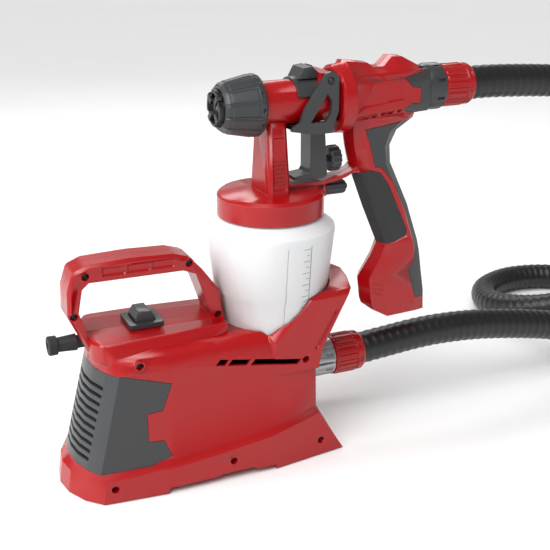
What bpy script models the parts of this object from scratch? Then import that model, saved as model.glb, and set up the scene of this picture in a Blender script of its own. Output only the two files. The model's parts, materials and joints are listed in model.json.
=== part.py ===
"""A turbine (HVLP) paint sprayer: a floor unit with motor and turbine, an air hose, and a cup gun.

X runs from the air intake end of the floor unit to its hose end, the near side faces -Y, and Z is up from
the floor. Sizes below are millimetres, and MM turns them into metres. Places are measured from the cup's
axis on the floor.
"""

import bmesh
import bpy
import math
from mathutils import Vector

MM = 0.001

# ---------------------------------------------------------------- driving sizes
CUP_RADIUS = 57.0          # paint cup, at its shoulder
CUP_BOTTOM = 108.0         # height of the cup's underside as it stands in the cradle
CUP_HEIGHT = 104.0         # underside to shoulder
CUP_WALL = 2.2
LID_RADIUS = 47.0
LID_HEIGHT = 20.0
NECK_HEIGHT = 56.0         # lid top to the barrel's underside
BARREL_RADIUS = 19.5
BARREL_REAR = 60.0
NUT_RADIUS = 27.0
NUT_LENGTH = 35.0
NOSE_RADIUS = 14.0         # the barrel's nose inside the nut
CAP_RADIUS = 17.5          # air cap, behind the nut's front lip
BASE_REACH = 202.0         # cup axis to the intake end
BASE_HEIGHT = 138.0        # floor to the deck under the handle
HANDLE_RISE = 64.0         # deck to the top of the bail handle
HANDLE_HALF = 15.0
WALL = 2.8                 # moulded walls of the floor unit
MOTOR_RADIUS = 30.0
OUTLET_HEIGHT = 73.0
HOSE_RADIUS = 16.0
COLLAR_LENGTH = 32.0
HOSE_AXIS_RISE = 4.0       # the air inlet's axis above the paint nozzle's axis
GRIP_HALF = 16.0
PAD_OUT = 1.0              # rubber feet below the casing
PLATE_THICK = 3.6          # side plates of the trigger
NEEDLE_RADIUS = 1.4

# ---------------------------------------------------------------- clearances
SEAM = 0.15                # half the gap between two mating halves
GAP = 0.3                  # between neighbouring pieces
SMOOTH_UNDER = math.radians(35.0)   # edges that turn by less are shaded as one surface
SEAT_GAP = 0.8             # round the cup in its cradle
SLIDE_GAP = 0.4            # round what turns or slides

# ---------------------------------------------------------------- sizes that follow
BASE_HALF = CUP_RADIUS + 1.0
SIDE_HALF = BASE_HALF - 8.0
SHOULDER = CUP_BOTTOM + CUP_HEIGHT
CUP_LIP_RADIUS = LID_RADIUS - 3.1
LID_BOTTOM = SHOULDER + 10.0
LID_TOP = LID_BOTTOM + LID_HEIGHT
AXIS_Z = LID_TOP + NECK_HEIGHT + BARREL_RADIUS - 0.5
HOSE_Z = AXIS_Z + HOSE_AXIS_RISE
CUP_FOOT_RADIUS = 0.76 * CUP_RADIUS
CUP_STEP_Z = CUP_BOTTOM + 0.47 * CUP_HEIGHT
CUP_STEP_RADIUS = 0.885 * CUP_RADIUS
SEAT_RADIUS = CUP_STEP_RADIUS + SEAT_GAP
SEAT_FLOOR = CUP_BOTTOM - GAP
COLLAR_RADIUS = HOSE_RADIUS + 3.5
TRIGGER_REACH = BARREL_RADIUS + 6.0    # outer faces of the trigger's side plates from the middle plane
TRIGGER_DROP = BARREL_RADIUS + 4.5     # lower edge of those plates below the barrel's axis
PIVOT_X = BARREL_REAR - 15.5
PIVOT_Z = AXIS_Z + BARREL_RADIUS + 0.6
HOSE_START = 91.3 * SEAT_RADIUS / 51.2 - COLLAR_LENGTH + 32.0
TAIL_FRONT = 152.0
TAIL_RING_END = 163.0
GUN_COLLAR_END = TAIL_RING_END + COLLAR_LENGTH + 1.0
RELIEF_TIP = BASE_REACH + 1.0
SHIFT_X = (RELIEF_TIP - GUN_COLLAR_END + GAP) / 2.0


# ---------------------------------------------------------------- places
def bx(x):
    """A place along the floor unit, drawn for a 202 mm reach and a 51.2 mm seat, carried to the real ones."""
    if x < -51.2:
        return -SEAT_RADIUS - (-51.2 - x) * (BASE_REACH - SEAT_RADIUS) / (202.0 - 51.2)
    return x * SEAT_RADIUS / 51.2


def by(y):
    return y * BASE_HALF / 58.0


def bz(z):
    """A height on the floor unit: up to the cup's underside it follows the cup, above it the deck."""
    if z <= 108.0:
        return z * CUP_BOTTOM / 108.0
    if z <= 138.0:
        return CUP_BOTTOM + (z - 108.0) * (BASE_HEIGHT - CUP_BOTTOM) / 30.0
    return BASE_HEIGHT + (z - 138.0) * HANDLE_RISE / 64.0


def gz(z):
    """A height on the gun, drawn for a nozzle axis at 317.5 mm."""
    return z - 317.5 + AXIS_Z


# ---------------------------------------------------------------- shapes: (corners, faces), in millimetres
def box(low, high):
    (a, b, c), (d, e, f) = low, high
    corners = [(a, b, c), (d, b, c), (d, e, c), (a, e, c), (a, b, f), (d, b, f), (d, e, f), (a, e, f)]
    faces = [(0, 3, 2, 1), (4, 5, 6, 7), (0, 1, 5, 4), (1, 2, 6, 5), (2, 3, 7, 6), (3, 0, 4, 7)]
    return corners, faces


def loft(rings, closed=False, mirrored=False):
    """Skin through rings of equal count. An open one is capped at both ends, a closed one meets its start.

    Mirrored rings run from the middle plane round one side and back round the other, and their caps are
    strips across.
    """
    count = len(rings[0])
    corners = [corner for ring in rings for corner in ring]
    faces = []
    spans = len(rings) if closed else len(rings) - 1
    for k in range(spans):
        low = k * count
        high = ((k + 1) % len(rings)) * count
        for i in range(count):
            j = (i + 1) % count
            faces.append((low + i, low + j, high + j, high + i))
    last = len(corners) - count
    if mirrored:
        for i in range(count // 2):
            strip = [i, i + 1, (count - i - 1) % count, (count - i) % count]
            strip = list(dict.fromkeys(strip))
            faces.append(tuple(reversed(strip)))
            faces.append(tuple(last + k for k in strip))
    elif not closed:
        faces.append(tuple(reversed(range(count))))
        faces.append(tuple(range(last, len(corners))))
    return corners, faces


def placed(u, v, along, axis):
    """The point at (u, v) across an axis and this far along it."""
    return {"x": (along, u, v), "y": (u, along, v), "z": (u, v, along)}[axis]


def prism(outline, axis, low, high):
    return loft([[placed(u, v, t, axis) for u, v in outline] for t in (low, high)])


def turned(profile, centre, axis, sides, closed=False):
    """A shape turned round an axis: profile holds (along, radius), centre the axis's place across."""
    rings = []
    for along, radius in profile:
        ring = []
        for k in range(sides):
            angle = 2.0 * math.pi * (k + 0.5) / sides
            u = centre[0] + radius * math.cos(angle)
            v = centre[1] + radius * math.sin(angle)
            ring.append(placed(u, v, along, axis))
        rings.append(ring)
    return loft(rings, closed)


def cylinder(centre, axis, low, high, radius, sides=16):
    return turned([(low, radius), (high, radius)], centre, axis, sides)


def tube(centre, axis, low, high, outer, inner, sides=24):
    return turned([(low, outer), (high, outer), (high, inner), (low, inner)], centre, axis, sides,
        closed=True)


def fluted(centre, axis, stations, ribs, depth, inner=None):
    """A turned shape with ribs along it: stations hold (along, radius over the ribs)."""
    rings = []
    for along, radius in stations:
        ring = []
        for k in range(ribs):
            for step, drop in ((0.0, 0.0), (0.30, 0.0), (0.42, depth), (0.88, depth)):
                angle = 2.0 * math.pi * (k + step) / ribs
                reach = radius - drop
                u = centre[0] + reach * math.cos(angle)
                v = centre[1] + reach * math.sin(angle)
                ring.append(placed(u, v, along, axis))
        rings.append(ring)
    if inner is None:
        return loft(rings)
    for along, radius in inner:
        ring = []
        for k in range(ribs):
            for step in (0.0, 0.30, 0.42, 0.88):
                angle = 2.0 * math.pi * (k + step) / ribs
                u = centre[0] + radius * math.cos(angle)
                v = centre[1] + radius * math.sin(angle)
                ring.append(placed(u, v, along, axis))
        rings.append(ring)
    return loft(rings, closed=True)


def joined(*shapes):
    corners = []
    faces = []
    for more_corners, more_faces in shapes:
        start = len(corners)
        corners.extend(more_corners)
        faces.extend(tuple(start + index for index in face) for face in more_faces)
    return corners, faces


def inset(outline, distance):
    """The outline moved inward by this distance, or outward by a negative one."""
    count = len(outline)
    area = 0.0
    for k in range(count):
        (a, b), (c, d) = outline[k], outline[(k + 1) % count]
        area += a * d - c * b
    turn = 1.0 if area > 0 else -1.0
    moved = []
    for k in range(count):
        before = Vector(outline[k - 1])
        here = Vector(outline[k])
        after = Vector(outline[(k + 1) % count])
        into = (here - before).normalized()
        out = (after - here).normalized()
        first = Vector((-into.y, into.x)) * turn
        second = Vector((-out.y, out.x)) * turn
        middle = first + second
        middle = middle / max(middle.dot(first), 0.4)
        moved.append(tuple(here + middle * distance))
    return moved


# ---------------------------------------------------------------- objects
for item in list(bpy.data.objects):
    bpy.data.objects.remove(item, do_unlink=True)


def material(name, colour, roughness, metallic=0.0):
    made = bpy.data.materials.new(name)
    made.use_nodes = True
    shader = made.node_tree.nodes["Principled BSDF"]
    shader.inputs["Base Color"].default_value = (*colour, 1.0)
    shader.inputs["Roughness"].default_value = roughness
    shader.inputs["Metallic"].default_value = metallic
    return made


RED = material("red_plastic", (0.47, 0.006, 0.010), 0.33)
GREY = material("dark_grey_plastic", (0.065, 0.068, 0.070), 0.45)
GRIP = material("soft_grip", (0.035, 0.036, 0.038), 0.75)
BLACK = material("black_plastic", (0.018, 0.018, 0.019), 0.40)
HOSE = material("hose_rubber", (0.016, 0.016, 0.017), 0.38)
WHITE = material("cup_plastic", (0.80, 0.81, 0.82), 0.35)
SILVER = material("silver_plastic", (0.42, 0.43, 0.44), 0.35, 0.6)
STEEL = material("steel", (0.55, 0.55, 0.56), 0.30, 1.0)
DARK_STEEL = material("black_screw", (0.06, 0.06, 0.065), 0.42, 0.9)
ALLOY = material("turbine_alloy", (0.60, 0.61, 0.62), 0.38, 1.0)
FOAM = material("filter_foam", (0.05, 0.05, 0.055), 0.95)
RUBBER = material("black_rubber", (0.02, 0.02, 0.02), 0.70)
SEAL = material("seal", (0.60, 0.60, 0.58), 0.50)


def solid(name, shape, look=None, origin=(0.0, 0.0, 0.0)):
    """An object from a shape, its own origin at this place. Without a material it is a cutter."""
    corners, faces = shape
    mesh = bpy.data.meshes.new(name)
    mesh.from_pydata([tuple((c[i] - origin[i]) * MM for i in range(3)) for c in corners], [], faces)
    made = bmesh.new()
    made.from_mesh(mesh)
    bmesh.ops.recalc_face_normals(made, faces=made.faces)
    if made.calc_volume(signed=True) < 0.0:
        bmesh.ops.reverse_faces(made, faces=made.faces)
    bmesh.ops.triangulate(made, faces=made.faces)
    made.to_mesh(mesh)
    made.free()
    item = bpy.data.objects.new(name, mesh)
    item.location = ((origin[0] + SHIFT_X) * MM, origin[1] * MM, (origin[2] + PAD_OUT) * MM)
    bpy.context.scene.collection.objects.link(item)
    if look is None:
        item.hide_render = True
        item.display_type = "WIRE"
    else:
        mesh.materials.append(look.copy())
        mesh.materials[0].name = name
        mesh.shade_smooth()
        mesh.set_sharp_from_angle(angle=SMOOTH_UNDER)
    return item


# The shells are cut many times over, and only the manifold solver keeps them closed.
SHELLS = ("casing", "gun_body", "gun_head", "back_strap", "grip_pad", "rear_trim", "end_cover")


def change(item, other, operation):
    step = item.modifiers.new(f"{operation.lower()}_{other.name}", "BOOLEAN")
    step.operation = operation
    step.solver = "MANIFOLD" if item.name.startswith(SHELLS) else "EXACT"
    step.object = other
    return item


def add(item, shape):
    return change(item, solid(f"{item.name}_add_{len(item.modifiers)}", shape), "UNION")


def cut(item, shape):
    return change(item, solid(f"{item.name}_cut_{len(item.modifiers)}", shape), "DIFFERENCE")


def softened(item, width, segments=1, angle=35.0):
    step = item.modifiers.new("softened", "BEVEL")
    step.width = width * MM
    step.segments = segments
    step.limit_method = "ANGLE"
    step.angle_limit = math.radians(angle)
    return item


# ---------------------------------------------------------------- floor unit: casing outline
# Each level of the casing is a ring through the same stations, from the middle of the intake end round the
# near side to the middle of the hose end. The inward direction at each makes the inside follow the outside.
INWARD = [(1, 0), (0.95, 0.3), (0.8, 0.6), (0.5, 0.85), (0, 1), (0, 1), (0, 1), (-0.7, 0.75), (-1, 0.3),
    (-1, 0)]


def level(left, corner, side, right, heights):
    """Half a level: left end reach, its corner, the side's places and the right end."""
    corner_x, corner_y = corner
    end_x, end_y = right
    places = [
        (left, 0.0),
        (left + 0.12 * (corner_x - left), 0.37 * corner_y),
        (left + 0.48 * (corner_x - left), 0.73 * corner_y),
        (corner_x, corner_y),
        (-112.0, side),
        (-70.0, side),
        (-22.0, side),
        (end_x - 2.0, end_y),
        (end_x, 0.68 * end_y),
        (end_x, 0.0),
    ]
    return [(bx(x), -by(y), bz(z)) for (x, y), z in zip(places, heights)]


def full_ring(half):
    """A whole ring from its near half, whose first and last points lie on the middle plane."""
    return half + [(x, -y, z) for x, y, z in reversed(half[1:-1])]


def moved_in(half, distance, rise):
    return [
        (x + direction[0] * distance, y + direction[1] * distance, z + rise)
        for (x, y, z), direction in zip(half, INWARD)
    ]


SKIRT_LOW = level(-202, (-176, 52), 58, (54, 48), [0] * 10)
SKIRT_TOP = level(-199, (-173, 52), 56.5, (29, 49), [20, 20, 20, 20, 23, 27, 33, 42, 45, 45])
SIDE_LOW = level(-193, (-177, 48.5), 51, (26, 47), [25, 25, 25, 25, 29, 33, 39, 48, 50, 50])
SIDE_TOP = level(-171, (-155, 46), 50, (25.5, 46), [113, 113, 113, 113, 112, 109, 102, 97, 97, 97])
SHOULDER_TOP = level(-168, (-157, 41), 46.5, (25, 44), [125, 125, 125, 125, 124, 122, 119, 106, 106, 106])
DECK_EDGE = level(-165, (-156, 37), 39.5, (23, 36), [130, 130, 130, 130, 129, 129, 128, 112, 112, 112])
CASING_LEVELS = (SKIRT_LOW, SKIRT_TOP, SIDE_LOW, SIDE_TOP, SHOULDER_TOP, DECK_EDGE)
CASING_OUTSIDE = loft([full_ring(half) for half in CASING_LEVELS], mirrored=True)

FLOOR_TOP = 9.0


def floor_level():
    return [(x, y, FLOOR_TOP) for x, y, z in moved_in(SIDE_LOW, WALL, 0.0)]


CASING_INSIDE = loft([
    full_ring(h) for h in (
        floor_level(),
        moved_in(SIDE_LOW, WALL, 0.0),
        moved_in(SIDE_TOP, WALL, 0.0),
        moved_in(SHOULDER_TOP, WALL, -1.0),
        moved_in(DECK_EDGE, 0.6 * WALL, -WALL),
    )
], mirrored=True)


def seat_shape(more):
    """The cup's seat in the cradle, or with more than nothing the wall around it."""
    return turned([
        (SEAT_FLOOR - more, CUP_FOOT_RADIUS + SEAT_GAP + more),
        (SEAT_FLOOR + 2.0 - 0.3 * more, CUP_FOOT_RADIUS + SEAT_GAP + 1.4 + more),
        (CUP_STEP_Z - 2.5, CUP_STEP_RADIUS + SEAT_GAP + more),
        (CUP_STEP_Z - 0.5, CUP_STEP_RADIUS + 1.4 + SEAT_GAP + more),
        (SHOULDER, CUP_RADIUS + 4.0 + more),
    ], (0.0, 0.0), "z", 32)


CRADLE_TOP = 157.0


def cradle_section(y, rise, spread, chamfer):
    """The cradle's outline at one y: from the body, up the inner slope, along the top, down the end."""
    return [
        (bx(-20), y, bz(88)),
        (bx(-17 - 0.75 * chamfer), y, bz(118 + 1.0 * chamfer)),
        (bx(17 - 0.4 * chamfer), y, bz(CRADLE_TOP - 4 + rise)),
        (bx(53 + spread), y, bz(CRADLE_TOP - 3 + rise)),
        (bx(28 + 0.45 * spread), y, bz(106)),
        (bx(24.6), y, bz(88)),
    ]


def cradle_shape(wall):
    near = [(-SIDE_HALF - 0.3, 0.0, 0.0, 0.0), (-SIDE_HALF + 3.7, 4.0, 4.0, 5.0),
        (-0.42 * SIDE_HALF, 5.0, 13.0, 10.0)]
    stations = near + [(0.0, 6.0, 17.0, 10.0)] + [(-y, r, s, c) for y, r, s, c in reversed(near)]
    if wall:
        stations = [(y + wall if y < 0 else y - wall if y > 0 else y, r, s, c) for y, r, s, c in stations]
    rings = []
    for y, rise, spread, chamfer in stations:
        ring = cradle_section(y, rise, spread, chamfer)
        if wall:
            outline = inset([(x, z) for x, _, z in ring], wall)
            ring = [(x, y, z) for x, z in outline]
        rings.append(ring)
    return loft(rings)


HANDLE_OUTSIDE = [
    (-171, 122), (-187, 158), (-186, 180), (-180.5, 196), (-168, 201), (-130, 202), (-95, 200.5),
    (-82, 196.5),
    (-70, 184), (-54, 162), (-49.5, 134), (-49.5, 122),
]
HANDLE_HOLE = [
    (-169, 134), (-172, 142), (-178, 161), (-174, 181), (-168, 186), (-87, 185), (-76, 180.5), (-63, 142),
    (-62, 134),
]


def on_base(outline):
    return [(bx(x), bz(z)) for x, z in outline]


# The end cover takes this region of the casing's shell, seen from the side.
COVER_REGION = [
    (-225, 26.5), (-133, 26.5), (-114, 32), (-121, 48), (-134, 49), (-134, 75), (-121, 76), (-112, 100),
    (-152, 112),
    (-225, 112),
]

DECK_PLAN = [(-171.5, -24), (-165, -36), (-156, -39), (-110, -38), (-56, -33), (-53, -30)]
DECK_PLAN = DECK_PLAN + [(x, -y) for x, y in reversed(DECK_PLAN)]
SWITCH_AT = (-121.0, 0.0)

# Screws go in from the near side: place, and how deep the head sits below the near face there.
CASING_SCREWS = [
    ("handle_left_top", -170.5, 191.5, HANDLE_HALF, 3.0),
    ("handle_right_top", -81.5, 190.5, HANDLE_HALF, 3.0),
    ("handle_left_low", -182.0, 158.0, HANDLE_HALF, 3.0),
    ("handle_right_low", -56.5, 140.0, HANDLE_HALF, 3.0),
    ("shoulder", -138.0, 119.5, SIDE_HALF, 5.0),
    ("cradle", 12.0, 98.5, SIDE_HALF, 5.0),
    ("foot_left", -166.0, 12.5, SIDE_HALF, 3.0),
    ("foot_middle", -60.0, 17.0, BASE_HALF - 1.0, 6.0),
    ("foot_right", 28.0, 14.0, SIDE_HALF, 3.5),
]
SCREW_HEAD = 3.0
SCREW_SHANK = 1.6


def bosses():
    shapes = []
    for name, x, z, face, deep in CASING_SCREWS:
        if name.startswith("handle"):
            continue
        shapes.append(cylinder((bx(x), bz(z)), "y", -face + 1.8, face - 1.8, SCREW_HEAD + 2.0, 10))
    return joined(*shapes)


def screw_holes():
    shapes = []
    for name, x, z, face, deep in CASING_SCREWS:
        at = (bx(x), bz(z))
        head = -face + deep + 2.2
        shapes.append(turned([
            (-face - 8.0, SCREW_HEAD + SLIDE_GAP),
            (head + GAP, SCREW_HEAD + SLIDE_GAP),
            (head + GAP + 0.01, SCREW_SHANK + GAP),
            (head + screw_length(face, name) + 1.0, SCREW_SHANK + GAP),
        ], at, "y", 8))
    return joined(*shapes)


def screw_length(half, name):
    return half - 5.2 + (8.0 if name.startswith("handle") else 10.0)


def outlet_shapes():
    """The hole for the air duct through the hose end."""
    return cylinder((0.0, bz(OUTLET_HEIGHT)), "x", bx(15), bx(60), HOSE_RADIUS - 0.2, 24)


RELIEF_AT = (0.0, 130.0)


def casing_half(name, near):
    item = solid(name, CASING_OUTSIDE, RED)
    handle = solid(f"{name}_handle", prism(on_base(HANDLE_OUTSIDE), "y", -HANDLE_HALF, HANDLE_HALF))
    softened(handle, 2.5)
    change(handle, solid(f"{name}_handle_hole", prism(on_base(HANDLE_HOLE), "y", -60, 60)), "DIFFERENCE")
    deck = solid(f"{name}_deck", prism([(bx(x), by(y)) for x, y in DECK_PLAN], "z", bz(120), bz(138)))
    softened(deck, 2.0)
    change(item, deck, "UNION")
    add(item, cradle_shape(0.0))
    cavity = solid(f"{name}_cavity", CASING_INSIDE)
    change(cavity, solid(f"{name}_cradle_cavity", cradle_shape(WALL)), "UNION")
    change(cavity, solid(f"{name}_seat_wall", seat_shape(WALL)), "DIFFERENCE")
    change(item, cavity, "DIFFERENCE")
    change(item, handle, "UNION")
    pocket = solid(f"{name}_handle_pocket", prism(
        inset(on_base(HANDLE_OUTSIDE), WALL), "y", -HANDLE_HALF + WALL, HANDLE_HALF - WALL))
    change(pocket, solid(f"{name}_pocket_keep", prism(inset(on_base(HANDLE_HOLE), -WALL), "y", -60, 60)),
        "DIFFERENCE")
    change(pocket, solid(f"{name}_pocket_foot", box((-300, -60, 0), (100, 60, bz(138) + WALL))), "DIFFERENCE")
    change(item, pocket, "DIFFERENCE")
    handle_bosses = [
        cylinder((bx(x), bz(z)), "y", -face + 1.2, face - 1.2, SCREW_HEAD + 1.8, 10)
        for label, x, z, face, deep in CASING_SCREWS if label.startswith("handle")
    ]
    add(item, joined(*handle_bosses))
    add(item, bosses())
    cut(item, seat_shape(0.0))
    cut(item, screw_holes())
    cut(item, prism(inset(on_base(COVER_REGION), -SEAM), "y", -80, 80))
    cut(item, outlet_shapes())
    cut(item, cylinder((0.0, bz(RELIEF_AT[1])), "x", bx(-190), bx(-150), 6.0, 16))
    sx, sy = bx(SWITCH_AT[0]), SWITCH_AT[1]
    cut(item, box((sx - 12.5, sy - 14.0, bz(110)), (sx + 12.5, sy + 14.0, bz(150))))
    raised = [(-122, -5), (-20, -5), (-20, 4), (-38, 4), (-41, 6.5), (-72, 6.5), (-75, 5), (-119, 5)]
    cut(item, prism([(bx(x), z) for x, z in raised], "y", -90, 90))
    vents = []
    for start, end in ((-73, -64), (-62, -44), (-41, 4)):
        top = [(start, 108.5 - 0.17 * (start + 73)), (end, 108.5 - 0.17 * (end + 73))]
        lift = [(end + 4, top[1][1] + 4.5), (start + 5, top[0][1] + 4.5)]
        vents.append(prism([(bx(x), bz(z)) for x, z in top + lift], "y", -by(70), -by(44)))
    cut(item, joined(*vents) if near else joined(*[mirrored_y(v) for v in vents]))
    if near:
        cut(item, box((-400, -SEAM, -50), (300, 200, 400)))
    else:
        cut(item, box((-400, -200, -50), (300, SEAM, 400)))
    return item


def mirrored_y(shape):
    corners, faces = shape
    return [(x, -y, z) for x, y, z in corners], faces


casing_half("casing_near", True)
casing_half("casing_far", False)

# ---------------------------------------------------------------- floor unit: intake end
cover = solid("end_cover", CASING_OUTSIDE, GREY)
change(cover, solid("end_cover_region", prism(inset(on_base(COVER_REGION), SEAM), "y", -80, 80)), "INTERSECT")
change(cover, solid("end_cover_inside", CASING_INSIDE), "DIFFERENCE")
slots = []
for row in range(10):
    low = bz(34.0) + row * 7.0 * CUP_BOTTOM / 108.0
    slots.append(box((bx(-230), -by(34), low), (bx(-150), by(34), low + 3.2)))
cut(cover, joined(*slots))

solid("filter_foam", prism(
    [(bx(-179.5), bz(31)), (bx(-170), bz(31)), (bx(-151), bz(104)), (bx(-160.5), bz(104))],
    "y", -by(29), by(29)), FOAM)

# ------------------------------------------------ floor unit: motor and turbine, one behind the other
TURBINE_RADIUS = (SEAT_FLOOR - WALL - 1.5 - bz(24.0)) / 2.0
MOTOR_Z = bz(24.0) + TURBINE_RADIUS
MOTOR_LEFT = bx(-138.0)
MOTOR_RIGHT = MOTOR_LEFT + 56.0
HOUSING_LEFT = MOTOR_RIGHT + 4.0
HOUSING_RIGHT = HOUSING_LEFT + 46.0
AT_MOTOR = (0.0, MOTOR_Z)

solid("motor_can", turned([
    (MOTOR_LEFT, 8.0), (MOTOR_LEFT, 14.0), (MOTOR_LEFT + 4.0, 14.0), (MOTOR_LEFT + 4.0, MOTOR_RADIUS),
    (MOTOR_RIGHT, MOTOR_RADIUS), (MOTOR_RIGHT, 4.0 + SLIDE_GAP), (MOTOR_LEFT + 6.0, 4.0 + SLIDE_GAP),
    (MOTOR_LEFT + 6.0, 8.0),
], AT_MOTOR, "x", 20, closed=True), STEEL)

WHEELS = [HOUSING_LEFT + 8.0, HOUSING_LEFT + 26.0]
solid("motor_shaft", cylinder(AT_MOTOR, "x", MOTOR_LEFT + 8.0, WHEELS[1] + 9.0, 3.6, 16), STEEL,
      origin=(MOTOR_LEFT + 8.0, 0.0, MOTOR_Z))

for index, start in enumerate(WHEELS):
    wheel = solid(f"turbine_wheel_{index + 1}", tube(AT_MOTOR, "x", start, start + 2.0,
        TURBINE_RADIUS - 4.0, 3.6 + SEAM, 24),
                  ALLOY, origin=(start, 0.0, MOTOR_Z))
    blades = []
    for k in range(7):
        angle = 2.0 * math.pi * k / 7
        outline = []
        for reach, lean in ((9.0, 0.0), (22.0, 0.16), (TURBINE_RADIUS - 5.0, 0.42)):
            outline.append((reach, angle + lean))
        points = [(r * math.cos(a), MOTOR_Z + r * math.sin(a)) for r, a in outline]
        back = [(r * math.cos(a + 2.2 / r), MOTOR_Z + r * math.sin(a + 2.2 / r))
            for r, a in reversed(outline)]
        blades.append(prism(points + back, "x", start + 1.0, start + 7.0))
    add(wheel, joined(*blades))
    add(wheel, tube(AT_MOTOR, "x", start + 1.0, start + 8.0, 8.0, 3.6 + SEAM, 16))

DUCT_OUTER = HOSE_RADIUS - 0.7
DUCT_INNER = DUCT_OUTER - 2.2
housing = solid("turbine_housing", turned([
    (HOUSING_LEFT, 6.0), (HOUSING_LEFT, TURBINE_RADIUS), (HOUSING_RIGHT, TURBINE_RADIUS),
    (HOUSING_RIGHT, DUCT_OUTER + GAP), (HOUSING_RIGHT - 2.4, DUCT_OUTER + GAP),
    (HOUSING_RIGHT - 2.4, TURBINE_RADIUS - 2.4), (HOUSING_LEFT + 2.4, TURBINE_RADIUS - 2.4),
    (HOUSING_LEFT + 2.4, 6.0),
], AT_MOTOR, "x", 24, closed=True), GREY)

RING_REACH = BASE_HALF - 12.0
for name, start in (("motor_ring_left", MOTOR_LEFT + 8.0), ("motor_ring_right", MOTOR_RIGHT - 14.0)):
    ring = solid(name, tube(AT_MOTOR, "x", start, start + 7.0, MOTOR_RADIUS + 5.0, MOTOR_RADIUS + GAP,
        24), RUBBER)
    add(ring, box((start, -RING_REACH, MOTOR_Z - 6.0), (start + 7.0, -MOTOR_RADIUS - 3.0, MOTOR_Z + 6.0)))
    add(ring, box((start, MOTOR_RADIUS + 3.0, MOTOR_Z - 6.0), (start + 7.0, RING_REACH, MOTOR_Z + 6.0)))

OUTLET_Z = bz(OUTLET_HEIGHT)
OUTLET_WALL = bx(27.5)
RING_END = HOSE_START - COLLAR_LENGTH - GAP
duct_path = [
    (HOUSING_RIGHT + GAP, MOTOR_Z), (HOUSING_RIGHT + 6.0, MOTOR_Z), (bx(12), OUTLET_Z), (RING_END, OUTLET_Z),
]
duct_rings = []
for radius, path in ((DUCT_OUTER, duct_path), (DUCT_INNER, list(reversed(duct_path)))):
    for x, z in path:
        ring = []
        for k in range(16):
            angle = 2.0 * math.pi * k / 16
            ring.append((x, radius * math.cos(angle), z + radius * math.sin(angle)))
        duct_rings.append(ring)
solid("air_duct", loft(duct_rings, closed=True), GREY)

outlet_ring = solid("outlet_ring", tube((0.0, OUTLET_Z), "x", OUTLET_WALL + GAP, RING_END, HOSE_RADIUS + 2.2,
                                        DUCT_OUTER + GAP, 24), SILVER)
grooves = []
for k in range(8):
    angle = 2.0 * math.pi * k / 8
    mid = Vector((math.cos(angle), math.sin(angle)))
    side = Vector((-mid.y, mid.x)) * 1.2
    corners = [mid * (HOSE_RADIUS + 1.2) - side, mid * (HOSE_RADIUS + 5.0) - side,
               mid * (HOSE_RADIUS + 5.0) + side, mid * (HOSE_RADIUS + 1.2) + side]
    grooves.append(prism([(c.x, OUTLET_Z + c.y) for c in corners], "x", OUTLET_WALL + 12.0, RING_END + 5.0))
cut(outlet_ring, joined(*grooves))


def hose_collar(name, start, end, z):
    """A ribbed collar round the hose's end; the hose butts against one of its faces."""
    lead = 3.0
    stations = [(start, COLLAR_RADIUS - 1.0), (start + lead, COLLAR_RADIUS), (end - lead, COLLAR_RADIUS),
                (end, COLLAR_RADIUS - 1.6)]
    inner = [(end, DUCT_INNER), (start, DUCT_INNER)]
    return solid(name, fluted((0.0, z), "x", stations, 12, 1.1, inner), RED, origin=(start, 0.0, z))


hose_collar("base_hose_collar", RING_END + GAP, HOSE_START - GAP, OUTLET_Z)

# ------------------------------------------------ floor unit: switch, lead sleeve, feet, screws
DECK_Z = bz(138.0)
sx, sy = bx(SWITCH_AT[0]), SWITCH_AT[1]
bezel = solid("switch_bezel", box((sx - 15.0, sy - 16.5, DECK_Z + GAP),
    (sx + 15.0, sy + 16.5, DECK_Z + 5.0)), GREY)
softened(bezel, 1.5, 1)
add(bezel, box((sx - 12.1, sy - 13.6, DECK_Z - 14.0), (sx + 12.1, sy + 13.6, DECK_Z + 3.0)))
cut(bezel, box((sx - 9.6, sy - 11.2, DECK_Z - 20.0), (sx + 9.6, sy + 11.2, DECK_Z + 20.0)))

PIVOT_SWITCH = DECK_Z + 4.0
rocker_side = [
    (-8.8, -4.0), (-4.0, -8.5), (4.0, -8.5), (8.8, -4.0), (8.8, 4.0), (5.0, 9.6), (-5.0, 9.6), (-8.8, 4.0),
]
rocker = solid("switch_rocker", prism([(sx + u, PIVOT_SWITCH + v) for u, v in rocker_side], "y",
    sy - 10.8, sy + 10.8),
               GREY, origin=(sx, sy, PIVOT_SWITCH))
softened(rocker, 0.8, 1, 50.0)

solid("strain_relief", turned([
    (bx(-162), 5.6), (bx(-RELIEF_TIP + 24), 5.6), (bx(-RELIEF_TIP + 24) - 0.01, 7.2),
    (-RELIEF_TIP + 8.0, 6.2),
    (-RELIEF_TIP + 7.5, 8.2), (-RELIEF_TIP + 1.0, 8.4), (-RELIEF_TIP, 7.4), (-RELIEF_TIP, 3.8),
    (bx(-162), 3.8),
], (0.0, bz(RELIEF_AT[1])), "x", 20, closed=True), RUBBER)

FOOT_PADS = [("left_near", -158, -40), ("left_far", -158, 40), ("right_near", 20, -38), ("right_far", 20, 38)]
for label, x, y in FOOT_PADS:
    solid(f"foot_{label}", turned([(-PAD_OUT, 5.2), (0.6 - PAD_OUT, 6.0), (-GAP, 6.0)],
        (bx(x), by(y)), "z", 16),
          RUBBER)


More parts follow.
